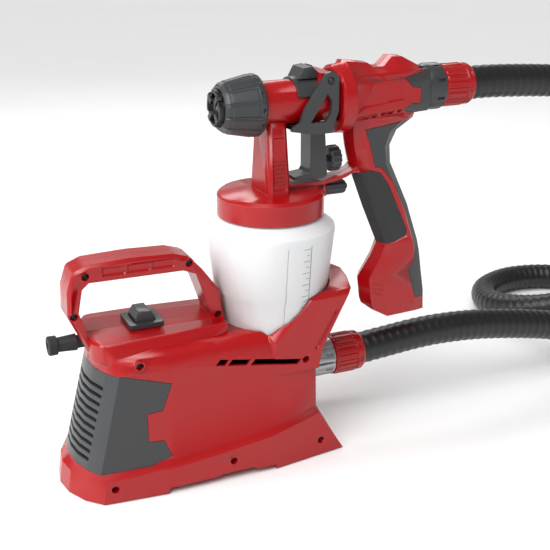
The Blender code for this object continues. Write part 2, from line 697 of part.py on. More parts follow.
def screw(name, x, z, face, deep):
    """A pan-head screw along y with a cross slot in its head, from the near side."""
    head = -face + deep
    at = (bx(x), bz(z))
    item = solid(f"screw_{name}", turned([
        (head, SCREW_HEAD - 0.8), (head + 0.7, SCREW_HEAD), (head + 2.2, SCREW_HEAD),
        (head + 2.2, SCREW_SHANK),
        (head + 2.2 + screw_length(face, name) - 1.5, SCREW_SHANK),
        (head + 2.2 + screw_length(face, name), 0.5),
    ], at, "y", 8), DARK_STEEL)
    cut(item, box((at[0] - 1.9, head - 1.0, at[1] - 0.4), (at[0] + 1.9, head + 1.1, at[1] + 0.4)))
    cut(item, box((at[0] - 0.4, head - 1.0, at[1] - 1.9), (at[0] + 0.4, head + 1.1, at[1] + 1.9)))


for name, x, z, face, deep in CASING_SCREWS:
    screw(name, x, z, face, deep)

# ---------------------------------------------------------------- paint cup, lid, neck and barrel
solid("cup", turned([
    (CUP_BOTTOM, CUP_FOOT_RADIUS - 1.5), (CUP_BOTTOM + 2.0, CUP_FOOT_RADIUS + 0.6),
    (CUP_STEP_Z - 2.0, CUP_STEP_RADIUS - 0.4), (CUP_STEP_Z, CUP_STEP_RADIUS + 1.0),
    (SHOULDER - 3.0, CUP_RADIUS), (SHOULDER, CUP_RADIUS - 0.5), (LID_BOTTOM - 2.0, CUP_LIP_RADIUS + 2.4),
    (LID_BOTTOM - 0.6, CUP_LIP_RADIUS), (LID_TOP - 5.4, CUP_LIP_RADIUS),
    (LID_TOP - 5.4, CUP_LIP_RADIUS - CUP_WALL), (LID_BOTTOM - 2.4, CUP_LIP_RADIUS - CUP_WALL),
    (SHOULDER - 3.6, CUP_RADIUS - CUP_WALL), (CUP_STEP_Z + 0.6, CUP_STEP_RADIUS + 1.0 - CUP_WALL),
    (CUP_STEP_Z - 2.6, CUP_STEP_RADIUS - 0.4 - CUP_WALL), 
    (CUP_BOTTOM + 4.0, CUP_FOOT_RADIUS + 0.4 - CUP_WALL),
    (CUP_BOTTOM + CUP_WALL, CUP_FOOT_RADIUS - 1.5 - CUP_WALL),
], (0.0, 0.0), "z", 32), WHITE)

solid("cup_gasket", tube((0.0, 0.0), "z", LID_TOP - 5.1, LID_TOP - 4.8 + GAP, CUP_LIP_RADIUS - 0.2,
                         CUP_LIP_RADIUS - CUP_WALL - 1.5, 32), SEAL)

CHANNEL = 3.4
head = solid("gun_head", turned([
    (LID_TOP - 4.4, CHANNEL), (LID_TOP, CHANNEL), (LID_TOP, LID_RADIUS - 3.0), (LID_TOP - 2.5, LID_RADIUS),
    (LID_BOTTOM, LID_RADIUS), (LID_BOTTOM, CUP_LIP_RADIUS + SLIDE_GAP),
    (LID_TOP - 4.4, CUP_LIP_RADIUS + SLIDE_GAP),
], (0.0, 0.0), "z", 32, closed=True), RED, origin=(0.0, 0.0, LID_TOP))
FRONT = -12.0
post = []
for z, half_x, half_y in ((LID_TOP - 1.5, 10.3, 22.0), (AXIS_Z - BARREL_RADIUS + 6.0, 8.6, 16.0)):
    post.append([
        (-half_x, -half_y + 3.0, z), (-half_x + 3.0, -half_y, z), (half_x - 3.0, -half_y, z),
        (half_x, -half_y + 3.0, z),
        (half_x, half_y - 3.0, z), (half_x - 3.0, half_y, z), (-half_x + 3.0, half_y, z),
        (-half_x, half_y - 3.0, z),
    ])
add(head, loft(post))
add(head, cylinder((0.0, AXIS_Z), "x", FRONT, BARREL_REAR, BARREL_RADIUS, 24))
add(head, cylinder((0.0, AXIS_Z), "x", FRONT - 10.0, FRONT + 5.0, NOSE_RADIUS, 24))
lug_top = PIVOT_Z + 5.5
add(head, box((PIVOT_X - 5.5, -17.5, AXIS_Z), (PIVOT_X + 5.5, 17.5, lug_top)))
cut(head, turned([
    (BARREL_REAR + 5.0, BARREL_RADIUS - 3.5), (6.0, BARREL_RADIUS - 3.5), (5.99, 5.0), (-6.0, 5.0),
    (-6.01, 9.0),
    (FRONT - 20.0, 9.0),
], (0.0, AXIS_Z), "x", 24))
cut(head, cylinder((0.0, 0.0), "z", LID_TOP - 10.0, AXIS_Z, CHANNEL, 12))
cut(head, cylinder((PIVOT_X, PIVOT_Z), "y", -60, 60, 3.0, 12))

saddle_from = 17.0
saddle_to = PIVOT_X - 5.5 - GAP
arc = []
for k in range(11):
    angle = math.radians(20.0 + 14.0 * k)
    arc.append(((BARREL_RADIUS + GAP) * math.cos(angle), AXIS_Z + (BARREL_RADIUS + GAP) * math.sin(angle)))
outer_arc = []
for k in range(11):
    angle = math.radians(160.0 - 14.0 * k)
    outer_arc.append(((BARREL_RADIUS + 2.3) * math.cos(angle),
        AXIS_Z + (BARREL_RADIUS + 2.3) * math.sin(angle)))
saddle = solid("barrel_saddle", prism([(u, v) for u, v in arc + outer_arc], "x", saddle_from, saddle_to),
    GREY)
barrel_top = AXIS_Z + BARREL_RADIUS
hump = [(saddle_from + 4.0, barrel_top + 1.1), (saddle_from + 9.0, barrel_top + 10.0),
    (saddle_to - 5.0, barrel_top + 11.0), (saddle_to, barrel_top + 6.5), (saddle_to, barrel_top + 1.1)]
add(saddle, prism(hump, "y", -11.0, 11.0))

# ---------------------------------------------------------------- nozzle end
NUT_REAR = FRONT - GAP
NUT_FRONT = NUT_REAR - NUT_LENGTH
AT_NOZZLE = (0.0, AXIS_Z)
nut_stations = [(NUT_REAR, NUT_RADIUS - 1.0), (NUT_REAR - 3.0, NUT_RADIUS),
    (NUT_FRONT + 3.0, CAP_RADIUS + 4.0), (NUT_FRONT, CAP_RADIUS + 2.0)]
CAP_REAR = NUT_FRONT + 16.0
nut_inner = [(NUT_FRONT, CAP_RADIUS - 1.4), (NUT_FRONT + 2.0, CAP_RADIUS - 1.4),
    (NUT_FRONT + 2.01, CAP_RADIUS + SLIDE_GAP), (CAP_REAR + GAP, CAP_RADIUS + SLIDE_GAP),
    (CAP_REAR + GAP + 0.01, NOSE_RADIUS + SLIDE_GAP), (NUT_REAR, NOSE_RADIUS + SLIDE_GAP)]
solid("union_nut", fluted(AT_NOZZLE, "x", nut_stations, 12, 1.0, nut_inner), GREY,
    origin=(NUT_REAR, 0.0, AXIS_Z))

CAP_FRONT = NUT_FRONT - 1.5
cap = solid("air_cap", turned([
    (CAP_REAR, CAP_RADIUS), (NUT_FRONT + 2.3, CAP_RADIUS), (NUT_FRONT + 2.3, CAP_RADIUS - 1.8),
    (CAP_FRONT, CAP_RADIUS - 1.8), (CAP_FRONT, 2.5),
    (CAP_FRONT + 3.0, 2.5), (CAP_FRONT + 5.0, 9.0), (CAP_REAR, 11.0),
], AT_NOZZLE, "x", 24, closed=True), BLACK, origin=(CAP_FRONT, 0.0, AXIS_Z))
horns = []
for k in range(4):
    angle = math.radians(45.0 + 90.0 * k)
    mid = Vector((math.cos(angle), math.sin(angle)))
    side = Vector((-mid.y, mid.x)) * 2.6
    tip = CAP_RADIUS - 2.2
    corners = [mid * 6.0 - side, mid * tip - side, mid * tip + side, mid * 6.0 + side]
    horns.append(prism([(c.x, AXIS_Z + c.y) for c in corners], "x", CAP_FRONT - 3.5, CAP_FRONT + 1.0))
add(cap, joined(*horns))

solid("paint_nozzle", turned([
    (-6.3, 8.6), (FRONT - 9.0, 8.6), (FRONT - 9.0, 6.0), (CAP_FRONT + 9.0, 3.8), (CAP_FRONT + 5.0, 1.9),
    (CAP_FRONT + 0.5, 1.9),
    (CAP_FRONT + 0.5, 1.2), (CAP_FRONT + 6.0, 2.4), (-6.3, 2.4),
], AT_NOZZLE, "x", 20, closed=True), STEEL)

needle_tip = CAP_FRONT + 2.0
solid("needle", turned([
    (needle_tip, 0.5), (needle_tip + 5.0, NEEDLE_RADIUS), (22.0, NEEDLE_RADIUS), (22.0, 6.0), (26.0, 6.0),
    (26.0, NEEDLE_RADIUS), (BARREL_REAR - 4.0, NEEDLE_RADIUS),
], AT_NOZZLE, "x", 12), STEEL, origin=(22.0, 0.0, AXIS_Z))
solid("needle_seal", tube(AT_NOZZLE, "x", -3.0, 5.5, 4.7, NEEDLE_RADIUS + GAP, 16), SEAL)

SPRING_FROM = 26.3
SPRING_TO = BARREL_REAR - 8.0
spring = bpy.data.curves.new("needle_spring", "CURVE")
spring.dimensions = "3D"
spring.bevel_depth = 0.45 * MM
spring.bevel_resolution = 1
spring.use_fill_caps = True
coil = spring.splines.new("POLY")
TURNS = 5
STEPS = 8
coil.points.add(TURNS * STEPS)
for k in range(TURNS * STEPS + 1):
    angle = 2.0 * math.pi * k / STEPS
    along = SPRING_FROM + 0.6 + (SPRING_TO - SPRING_FROM - 1.2) * k / (TURNS * STEPS)
    place = (along * MM, 3.6 * math.cos(angle) * MM, 3.6 * math.sin(angle) * MM)
    coil.points[k].co = (*place, 1.0)
spring.materials.append(STEEL.copy())
spring.materials[0].name = "needle_spring"
item = bpy.data.objects.new("needle_spring", spring)
item.location = (SHIFT_X * MM, 0.0, (AXIS_Z + PAD_OUT) * MM)
bpy.context.scene.collection.objects.link(item)

solid("spring_seat", tube(AT_NOZZLE, "x", SPRING_TO + GAP, SPRING_TO + 3.0, BARREL_RADIUS - 3.5 - 0.2,
                          NEEDLE_RADIUS + GAP, 20), GREY)

solid("riser_tube", tube((0.0, 0.0), "z", CUP_BOTTOM + 7.0, AXIS_Z - 7.0, CHANNEL - GAP, CHANNEL - 1.4,
    12), WHITE)

# ---------------------------------------------------------------- trigger
plate = [
    (PIVOT_X - 7.5, PIVOT_Z + 2.0), (PIVOT_X - 5.0, PIVOT_Z + 6.0), (PIVOT_X, PIVOT_Z + 7.6),
    (PIVOT_X + 5.0, PIVOT_Z + 6.0), (PIVOT_X + 7.5, PIVOT_Z + 1.0), (PIVOT_X + 7.6, AXIS_Z - 6.0),
    (PIVOT_X + 2.5, AXIS_Z - TRIGGER_DROP + 5.0), (PIVOT_X + 2.5, AXIS_Z - TRIGGER_DROP),
    (PIVOT_X - 15.5, AXIS_Z - TRIGGER_DROP), (PIVOT_X - 36.0, AXIS_Z - TRIGGER_DROP + 4.0),
    (PIVOT_X - 35.0, AXIS_Z - TRIGGER_DROP + 7.0), (PIVOT_X - 28.0, AXIS_Z - 13.0),
    (PIVOT_X - 24.0, AXIS_Z - 2.0),
]
window = [(PIVOT_X - 3.0, AXIS_Z + 9.5), (PIVOT_X + 1.0, AXIS_Z + 3.0), (PIVOT_X + 0.8, AXIS_Z - 6.0),
          (PIVOT_X - 4.0, AXIS_Z - 14.0), (PIVOT_X - 18.5, AXIS_Z - 14.0)]
trigger = solid("trigger", prism(plate, "y", -TRIGGER_REACH, TRIGGER_REACH), GREY,
    origin=(PIVOT_X, 0.0, PIVOT_Z))
inner_reach = TRIGGER_REACH - PLATE_THICK
under = AXIS_Z - BARREL_RADIUS - 1.2
cut(trigger, box((PIVOT_X - 60, -inner_reach, under), (PIVOT_X + 60, inner_reach, AXIS_Z + 80)))
cut(trigger, prism(window, "y", -60, 60))
cut(trigger, cylinder((PIVOT_X, PIVOT_Z), "y", -60, 60, 2.6 + SLIDE_GAP, 12))
BLADE_LOW = LID_TOP + 8.0
BLADE_TOP = AXIS_Z - TRIGGER_DROP + 2.0
blade = [(PIVOT_X - 11.0, BLADE_TOP), (PIVOT_X + 2.5, BLADE_TOP), (PIVOT_X + 5.5, BLADE_LOW + 3.0),
         (PIVOT_X + 3.0, BLADE_LOW), (PIVOT_X - 26.0, BLADE_LOW + 0.5), (PIVOT_X - 26.5, BLADE_LOW + 3.5),
         (PIVOT_X - 13.0, BLADE_LOW + 5.0), (PIVOT_X - 11.0, BLADE_LOW + 8.0)]
add(trigger, prism(blade, "y", -10.0, 10.0))
KNOB_Z = BLADE_LOW + 14.5
KNOB_X = PIVOT_X + 10.0

solid("trigger_pin", turned([
    (-TRIGGER_REACH - 1.2, 2.0), (-TRIGGER_REACH - 0.6, 2.6), (TRIGGER_REACH + 0.6, 2.6),
    (TRIGGER_REACH + 1.2, 2.0),
], (PIVOT_X, PIVOT_Z), "y", 12), STEEL)

flow_stations = [(KNOB_X, 10.5), (KNOB_X + 1.5, 11.5), (KNOB_X + 9.0, 11.5), (KNOB_X + 10.5, 10.0)]
flow = solid("flow_knob", fluted((0.0, KNOB_Z), "x", flow_stations, 14, 0.9), GREY,
    origin=(KNOB_X, 0.0, KNOB_Z))
cut(trigger, cylinder((0.0, KNOB_Z), "x", PIVOT_X - 4.0, PIVOT_X + 20.0, 3.4, 12))
add(flow, cylinder((0.0, KNOB_Z), "x", PIVOT_X - 3.0, KNOB_X + 2.0, 3.0, 12))

# ---------------------------------------------------------------- gun body
BODY_FRONT = BARREL_REAR + 2.0
spine = [(0.0, 24.0), (5.0, 33.0), (26.0, 30.5), (32.0, 26.5), (42.0, 26.5), (50.0, 34.5), (60.0, 34.0),
         (TAIL_FRONT - BODY_FRONT - 7.0, 22.5)]


def body_ring(x, top, share):
    """A section of the gun's upper body: spine, shoulder, side, belly. The share narrows it to the tail."""
    wide = 1.0 - 0.13 * share
    up = 22.0 - 2.0 * share
    centre = AXIS_Z + HOSE_AXIS_RISE * share
    half = [
        (x, 0.0, AXIS_Z + top),
        (x, -8.5 * wide, AXIS_Z + top - 0.5),
        (x, -19.0 * wide, centre + up - 1.0),
        (x, -23.5 * wide, centre + up - 8.0),
        (x, -23.5 * wide, centre - 12.0),
        (x, -19.5 * wide, centre - 18.0),
        (x, -8.0, centre - 19.0),
        (x, 0.0, centre - 19.0),
    ]
    return half + [(a, -b, c) for a, b, c in reversed(half[1:-1])]


def body_shape(wall):
    rings = []
    reach = spine[-1][0]
    for along, top in spine:
        ring = body_ring(BODY_FRONT + along, top, along / reach)
        if wall:
            outline = inset([(y, z) for _, y, z in ring], wall)
            ring = [(BODY_FRONT + along, y, z) for y, z in outline]
        rings.append(ring)
    if wall:
        rings[0] = [(x - 12.0, y, z) for x, y, z in rings[0]]
        rings[-1] = [(x + 12.0, y, z) for x, y, z in rings[-1]]
    return loft(rings, mirrored=True)


# Grip levels: height, front, back, half width. The last level is the rounded toe.
GRIP = [
    (306.0, 64.0, 143.0, 18.0), (297.0, 67.0, 139.0, 17.0), (287.0, 69.5, 122.0, 16.0),
    (274.0, 72.0, 115.0, 16.0),
    (258.0, 76.0, 116.0, 16.0), (217.0, 91.5, 136.0, 16.0), (180.0, 107.5, 149.0, 15.6),
    (168.0, 102.0, 152.5, 15.6),
    (148.0, 88.5, 156.5, 16.6), (128.0, 91.0, 160.0, 16.6),
]
GRIP_LOOK = bpy.data.materials["soft_grip"]


def grip_ring(z, front, back, half, sink=(0, 0, 0, 0, 0, 0)):
    deep = back - front
    near = [
        (front, 0.0, z - sink[0]), (front + 0.10 * deep, -0.66 * half, z - sink[1]),
        (front + 0.30 * deep, -half, z - sink[2]), (back - 0.26 * deep, -half, z - sink[3]),
        (back - 0.07 * deep, -0.62 * half, z - sink[4]), (back, 0.0, z - sink[5]),
    ]
    return near + [(a, -b, c) for a, b, c in reversed(near[1:-1])]


def grip_shape(wall):
    rings = []
    width = GRIP_HALF / 16.0
    for z, front, back, half in GRIP:
        rings.append(grip_ring(gz(z), front + wall, back - wall, half * width - wall))
    bottom = gz(124.0)
    sink = (2.0, 7.0, 14.0, 13.0, 15.0, 15.0)
    if wall:
        rings[-1] = [(x, y, z + 2.0) for x, y, z in rings[-1]]
    else:
        rings.append(grip_ring(bottom, 93.0, 161.0, 16.2 * width, sink))
    return loft(rings, mirrored=True)


PAD_REGION = [(74, 230), (74, 246.9), (90, 254), (100, 250.5), (109, 239), (131, 193), (130, 188),
    (112, 180.5), (85, 183)]
STRAP_REGION = [
    (84, 291), (91, 270), (94.5, 257), (101, 255.5), (114, 241), (131, 207), (142, 173), (141, 163),
    (134, 154),
    (136, 146), (143, 124), (175, 122), (175, 200), (150, 250), (126, 262), (126, 280), (150, 297),
    (120, 295.5),
]
TRIM_REGION = [
    (119, 334), (139, 338.5), (140.5, 365), (170, 365), (170, 285), (140.5, 285), (139.5, 303),
    (123, 304), (120, 307.5), (127, 312), (134, 311), (135.5, 315), (135.5, 325),
    (127, 326),
]
SKIN = 2.0


def on_gun(outline):
    return [(x, gz(z)) for x, z in outline]


LUG_X = LID_RADIUS + 1.2
CLAMP_Z = LID_TOP - 4.4


def guard_shape():
    low = LID_TOP + 1.6
    upper = [(BODY_FRONT + 22.0, gz(261.5)), (BODY_FRONT + 14.0, gz(254.3)), (BODY_FRONT + 4.0, low + 6.6),
             (BODY_FRONT - 5.0, low + 4.8), (BODY_FRONT - 14.0, low + 3.0), (14.0, low + 2.2)]
    lower = [(14.0, low), (LUG_X, low), (LUG_X + 2.0, low + 0.8), (BODY_FRONT - 2.0, low + 1.7),
             (BODY_FRONT + 8.0, low + 4.4), (BODY_FRONT + 24.0, gz(256.5))]
    return prism(upper + lower, "y", -9.0, 9.0)


def gun_half(name, near):
    item = solid(name, body_shape(0.0), RED)
    change(item, solid(f"{name}_grip", grip_shape(0.0)), "UNION")
    add(item, guard_shape())
    add(item, turned([
        (BARREL_REAR - 4.0, 27.0), (BARREL_REAR - 2.5, 29.5), (BODY_FRONT + 6.0, 30.5),
        (BODY_FRONT + 8.0, 27.0),
    ], AT_NOZZLE, "x", 24))
    hollow = solid(f"{name}_hollow", body_shape(2.6))
    change(item, hollow, "DIFFERENCE")
    cut(item, grip_shape(2.6 + SKIN))
    cut(item, cylinder(AT_NOZZLE, "x", BARREL_REAR - 10.0, BODY_FRONT + 12.0, BARREL_RADIUS + SLIDE_GAP, 24))
    skin_cut = SKIN + GAP
    for label, region in (("pad", PAD_REGION), ("strap", STRAP_REGION), ("trim", TRIM_REGION)):
        cutter = solid(f"{name}_{label}_pocket", prism(inset(on_gun(region), -SEAM), "y", -60, 60))
        change(cutter, solid(f"{name}_{label}_body", body_shape(skin_cut)), "DIFFERENCE")
        change(cutter, solid(f"{name}_{label}_grip", grip_shape(skin_cut)), "DIFFERENCE")
        change(item, cutter, "DIFFERENCE")
    add(item, box((LUG_X, -5.5, CLAMP_Z - 6.0), (LUG_X + 3.5, 5.5, LID_TOP + 3.0)))
    cut(item, cylinder((0.0, CLAMP_Z), "x", LUG_X - 10.0, LUG_X + 10.0, 1.9, 10))
    if near:
        cut(item, box((-100, -SEAM, 0), (400, 200, 500)))
    else:
        cut(item, box((-100, -200, 0), (400, SEAM, 500)))
    return item


gun_half("gun_body_near", True)
gun_half("gun_body_far", False)


def skin_piece(name, region, look):
    """A skin SKIN thick on the gun's body or grip, over this region seen from the side."""
    item = solid(name, prism(inset(on_gun(region), SEAM), "y", -60, 60), look)
    whole = solid(f"{name}_whole", body_shape(0.0))
    change(whole, solid(f"{name}_whole_grip", grip_shape(0.0)), "UNION")
    change(item, whole, "INTERSECT")
    change(item, solid(f"{name}_body_core", body_shape(SKIN)), "DIFFERENCE")
    change(item, solid(f"{name}_grip_core", grip_shape(SKIN)), "DIFFERENCE")
    return item


skin_piece("grip_pad", PAD_REGION, GRIP_LOOK)
skin_piece("back_strap", STRAP_REGION, GREY)
skin_piece("rear_trim", TRIM_REGION, GREY)

AT_HOSE = (0.0, HOSE_Z)
tail = solid("tail_ring", turned([
    (TAIL_FRONT - 16.0, 15.0), (TAIL_FRONT - 6.0, 15.0), (TAIL_FRONT - 6.0, 19.0), (TAIL_FRONT - 2.0, 21.0),
    (TAIL_RING_END, 21.0), (TAIL_RING_END, DUCT_INNER), (TAIL_FRONT - 16.0, DUCT_INNER),
], AT_HOSE, "x", 24, closed=True), GREY)
slots = []
for k in range(8):
    angle = 2.0 * math.pi * (k + 0.5) / 8
    mid = Vector((math.cos(angle), math.sin(angle)))
    side = Vector((-mid.y, mid.x)) * 1.3
    corners = [mid * 19.4 - side, mid * 25.0 - side, mid * 25.0 + side, mid * 19.4 + side]
    slots.append(prism([(c.x, HOSE_Z + c.y) for c in corners], "x", TAIL_FRONT + 2.0, TAIL_RING_END - 2.0))
cut(tail, joined(*slots))
hose_collar("gun_hose_collar", TAIL_RING_END + GAP, GUN_COLLAR_END - GAP, HOSE_Z)

KNOB_FROM = LUG_X + 3.5 + GAP
KNOB_TO = KNOB_FROM + 20.0
lower_stations = [(KNOB_FROM, 5.6), (KNOB_FROM + 1.2, 6.4), (KNOB_TO - 1.5, 6.4), (KNOB_TO, 5.4)]
solid("clamp_knob", fluted((0.0, CLAMP_Z), "x", lower_stations, 10, 0.7,
    [(KNOB_TO, 1.9), (KNOB_FROM, 1.9)]), GREY,
      origin=(KNOB_FROM, 0.0, CLAMP_Z))
solid("clamp_screw", turned([
    (LUG_X + 0.3, 1.5), (KNOB_TO + GAP, 1.5), (KNOB_TO + GAP, 3.4), (KNOB_TO + 1.5, 3.4),
    (KNOB_TO + 2.3, 2.4),
], (0.0, CLAMP_Z), "x", 10), DARK_STEEL)

# ---------------------------------------------------------------- air hose
# From the floor unit's outlet it leaves level, comes down to the floor, makes one loop lying there, and
# rises to the gun.
RISE = HOSE_RADIUS + 0.5 - PAD_OUT
ROUTE = [
    (HOSE_START, 0, OUTLET_Z), (HOSE_START + 25, 0, OUTLET_Z + 2), (175, 0, OUTLET_Z + 5), (240, 0, OUTLET_Z),
    (323, 0, 57), (385, 4, 35), (445, 16, 20), (497, 46, RISE), (530, 96, RISE), (530, 156, RISE),
    (496, 205, RISE),
    (440, 222, RISE), (386, 202, RISE), (360, 150, 20), (374, 92, 34), (425, 50, 51), (490, 30, 60),
    (555, 28, 80),
    (600, 30, 122), (618, 31, 180), (602, 28, 238), (555, 22, 281), (480, 13, 303), (400, 5, HOSE_Z - 10),
    (330, 1, HOSE_Z - 7), (262, 0, HOSE_Z - 2), (GUN_COLLAR_END + 26, 0, HOSE_Z), (GUN_COLLAR_END, 0, HOSE_Z),
]


def smooth_route(points, spacing):
    """Points every spacing along a smooth curve through the route's own points."""
    dense = []
    for k in range(len(points) - 1):
        before = Vector(points[max(k - 1, 0)])
        a = Vector(points[k])
        b = Vector(points[k + 1])
        after = Vector(points[min(k + 2, len(points) - 1)])
        for s in range(12):
            t = s / 12.0
            dense.append(0.5 * (2 * a + (b - before) * t + (2 * before - 5 * a + 4 * b - after) * t * t
                                + (3 * a - before - 3 * b + after) * t ** 3))
    dense.append(Vector(points[-1]))
    total = sum((dense[k + 1] - dense[k]).length for k in range(len(dense) - 1))
    count = max(8, round(total / spacing))
    even = [dense[0]]
    walked = 0.0
    want = total / count
    for k in range(len(dense) - 1):
        step = (dense[k + 1] - dense[k]).length
        while walked + step >= want * len(even) and len(even) < count:
            part = (want * len(even) - walked) / step
            even.append(dense[k].lerp(dense[k + 1], part))
        walked += step
    even.append(dense[-1])
    return even, total


route, hose_length = smooth_route(ROUTE, 2.0 * HOSE_RADIUS)
for end, beside in ((0, 1), (-1, -2)):
    route[beside].y = route[end].y
    route[beside].z = route[end].z
curve = bpy.data.curves.new("air_hose", "CURVE")
curve.dimensions = "3D"
curve.bevel_depth = HOSE_RADIUS * MM
curve.bevel_resolution = 4
curve.use_fill_caps = True
line = curve.splines.new("POLY")
line.points.add(len(route) - 1)
for k, place in enumerate(route):
    line.points[k].co = (place.x * MM, place.y * MM, place.z * MM, 1.0)
curve.materials.append(HOSE.copy())
curve.materials[0].name = "air_hose"
hose = bpy.data.objects.new("air_hose", curve)
hose.location = (SHIFT_X * MM, 0.0, PAD_OUT * MM)
bpy.context.scene.collection.objects.link(hose)
print(f"hose length {hose_length:.0f} mm, {len(route)} points")
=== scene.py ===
# %% [markdown]
# # A turbine paint sprayer
# The object is a floor unit that blows air down a thick ribbed hose to a paint gun, whose cup stands in
# a cradle on the unit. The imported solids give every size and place. Most pieces keep their solid's shape
# and gain smooth shading and a finish here. The turned, ribbed and fluted ones are made again in more detail.

import json
import math

import bmesh
import bpy
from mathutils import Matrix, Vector
from mathutils.bvhtree import BVHTree


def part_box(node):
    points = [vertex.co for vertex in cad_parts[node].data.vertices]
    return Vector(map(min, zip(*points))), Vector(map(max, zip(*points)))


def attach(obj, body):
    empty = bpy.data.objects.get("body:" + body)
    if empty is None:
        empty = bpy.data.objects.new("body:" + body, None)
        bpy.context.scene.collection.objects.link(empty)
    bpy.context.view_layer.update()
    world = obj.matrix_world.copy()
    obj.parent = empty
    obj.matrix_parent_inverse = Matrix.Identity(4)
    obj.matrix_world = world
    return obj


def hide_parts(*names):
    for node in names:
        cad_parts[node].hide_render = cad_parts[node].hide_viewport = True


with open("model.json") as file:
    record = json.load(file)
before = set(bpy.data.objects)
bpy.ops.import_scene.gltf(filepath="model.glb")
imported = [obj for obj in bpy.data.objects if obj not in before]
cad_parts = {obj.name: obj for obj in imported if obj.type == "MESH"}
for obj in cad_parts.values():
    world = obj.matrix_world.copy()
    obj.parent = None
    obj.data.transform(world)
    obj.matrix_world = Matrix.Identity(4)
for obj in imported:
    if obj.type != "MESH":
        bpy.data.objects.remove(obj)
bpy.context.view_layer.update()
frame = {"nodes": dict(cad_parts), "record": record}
NODES = frame["nodes"]
MM = 0.001

# %% [markdown]
# ## Places that many pieces share
# The nut, the cap and the nozzle sit on the barrel's axis, and each end of the hose has an axis of its own.
# All three run along X. The boxes of the solids give them, so the script holds no second set of drawings.

# %% Axes read from the solids
def middle(node):
    low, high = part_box(node)
    return (low + high) / 2


BARREL = (0.0, middle("union_nut").z)
GUN_HOSE = (0.0, middle("gun_hose_collar").z)
OUTLET = (0.0, middle("base_hose_collar").z)
BODIES = frame["record"]["behaviour"]["bodies"]
BODY_OF = {node: body for body, members in BODIES.items() for node in members}
SLOT_OF = {part["node"]: part["material_slot"] for part in frame["record"]["subparts"]}
print(f"barrel axis {BARREL[1] / MM:.1f} mm up, outlet axis {OUTLET[1] / MM:.1f} mm up")

# %% [markdown]
# ## Camera
# A long lens a little under a metre away, looking down at about twenty degrees from the left, keeps the
# upright edges nearly parallel, as a catalogue view does.

# %% Camera
AIM = Vector((0.008, 0.0, 0.163))
AZIMUTH = math.radians(-24.0)
ELEVATION = math.radians(20.5)
DISTANCE = 0.9
LENS = 65.45
SENSOR = 36.0
level = math.cos(ELEVATION)
back = Vector((math.sin(AZIMUTH) * level, -math.cos(AZIMUTH) * level, math.sin(ELEVATION)))
camera_data = bpy.data.cameras.new("camera")
camera_data.lens = LENS
camera_data.sensor_width = SENSOR
camera = bpy.data.objects.new("camera", camera_data)
camera.location = AIM + back * DISTANCE
camera.rotation_euler = back.to_track_quat("Z", "Y").to_euler()
bpy.context.scene.collection.objects.link(camera)
bpy.context.scene.camera = camera
print("camera at", [round(c, 3) for c in camera.location])

# %% [markdown]
# ## Finishes
# Moulded plastic is never one flat colour. Close up it has a fine grain, and its gloss changes slowly where
# hands and the mould have polished it. It could be painted by hand on an unwrapped piece, but noise in the
# piece's own coordinates needs no unwrapping and moves with the piece. These helpers make that noise and
# carry it to a useful range.

# %% Noise and tones
def nodes_for(name):
    made = bpy.data.materials.new(name)
    made.use_nodes = True
    return made, made.node_tree, made.node_tree.nodes["Principled BSDF"]


def link(tree, start, end):
    tree.links.new(start, end)


def noise(tree, scale, detail=3.0, stretch=None):
    """Noise in the piece's own coordinates, in features per metre."""
    coordinates = tree.nodes.new("ShaderNodeTexCoord")
    texture = tree.nodes.new("ShaderNodeTexNoise")
    texture.inputs["Scale"].default_value = scale
    texture.inputs["Detail"].default_value = detail
    if stretch is None:
        link(tree, coordinates.outputs["Object"], texture.inputs["Vector"])
    else:
        mapping = tree.nodes.new("ShaderNodeMapping")
        mapping.inputs["Scale"].default_value = stretch
        link(tree, coordinates.outputs["Object"], mapping.inputs["Vector"])
        link(tree, mapping.outputs["Vector"], texture.inputs["Vector"])
    return texture.outputs["Fac"]


def spread(tree, value, low, high, from_low=0.3, from_high=0.7):
    """A value carried from one range to another."""
    step = tree.nodes.new("ShaderNodeMapRange")
    step.inputs["From Min"].default_value = from_low
    step.inputs["From Max"].default_value = from_high
    step.inputs["To Min"].default_value = low
    step.inputs["To Max"].default_value = high
    link(tree, value, step.inputs["Value"])
    return step.outputs["Result"]


def two_tones(tree, factor, dark, light):
    mix = tree.nodes.new("ShaderNodeMix")
    mix.data_type = "RGBA"
    mix.inputs["A"].default_value = (*dark, 1.0)
    mix.inputs["B"].default_value = (*light, 1.0)
    link(tree, factor, mix.inputs["Factor"])
    return mix.outputs["Result"]


print("noise, spread and two_tones are ready")

# %% [markdown]
# The edges of a moulding are rounded and a little rubbed. The corners could be bevelled in the mesh, but the
# solids have many short edges that a bevel would tangle. The Bevel node rounds only how an edge shades. Where
# its normal turns away from the true one there is an edge, so the same node also shows where to rub it paler.

# %% Edges of a moulding
EDGE_STARTS = 0.99
EDGE_FULL = 0.86
SCUFFS_PER_METRE = 400.0


def rounded_edges(tree, radius):
    """The normal of a surface whose edges are rounded to a radius in millimetres."""
    bevel = tree.nodes.new("ShaderNodeBevel")
    bevel.samples = 4
    bevel.inputs["Radius"].default_value = radius * MM
    return bevel.outputs["Normal"]


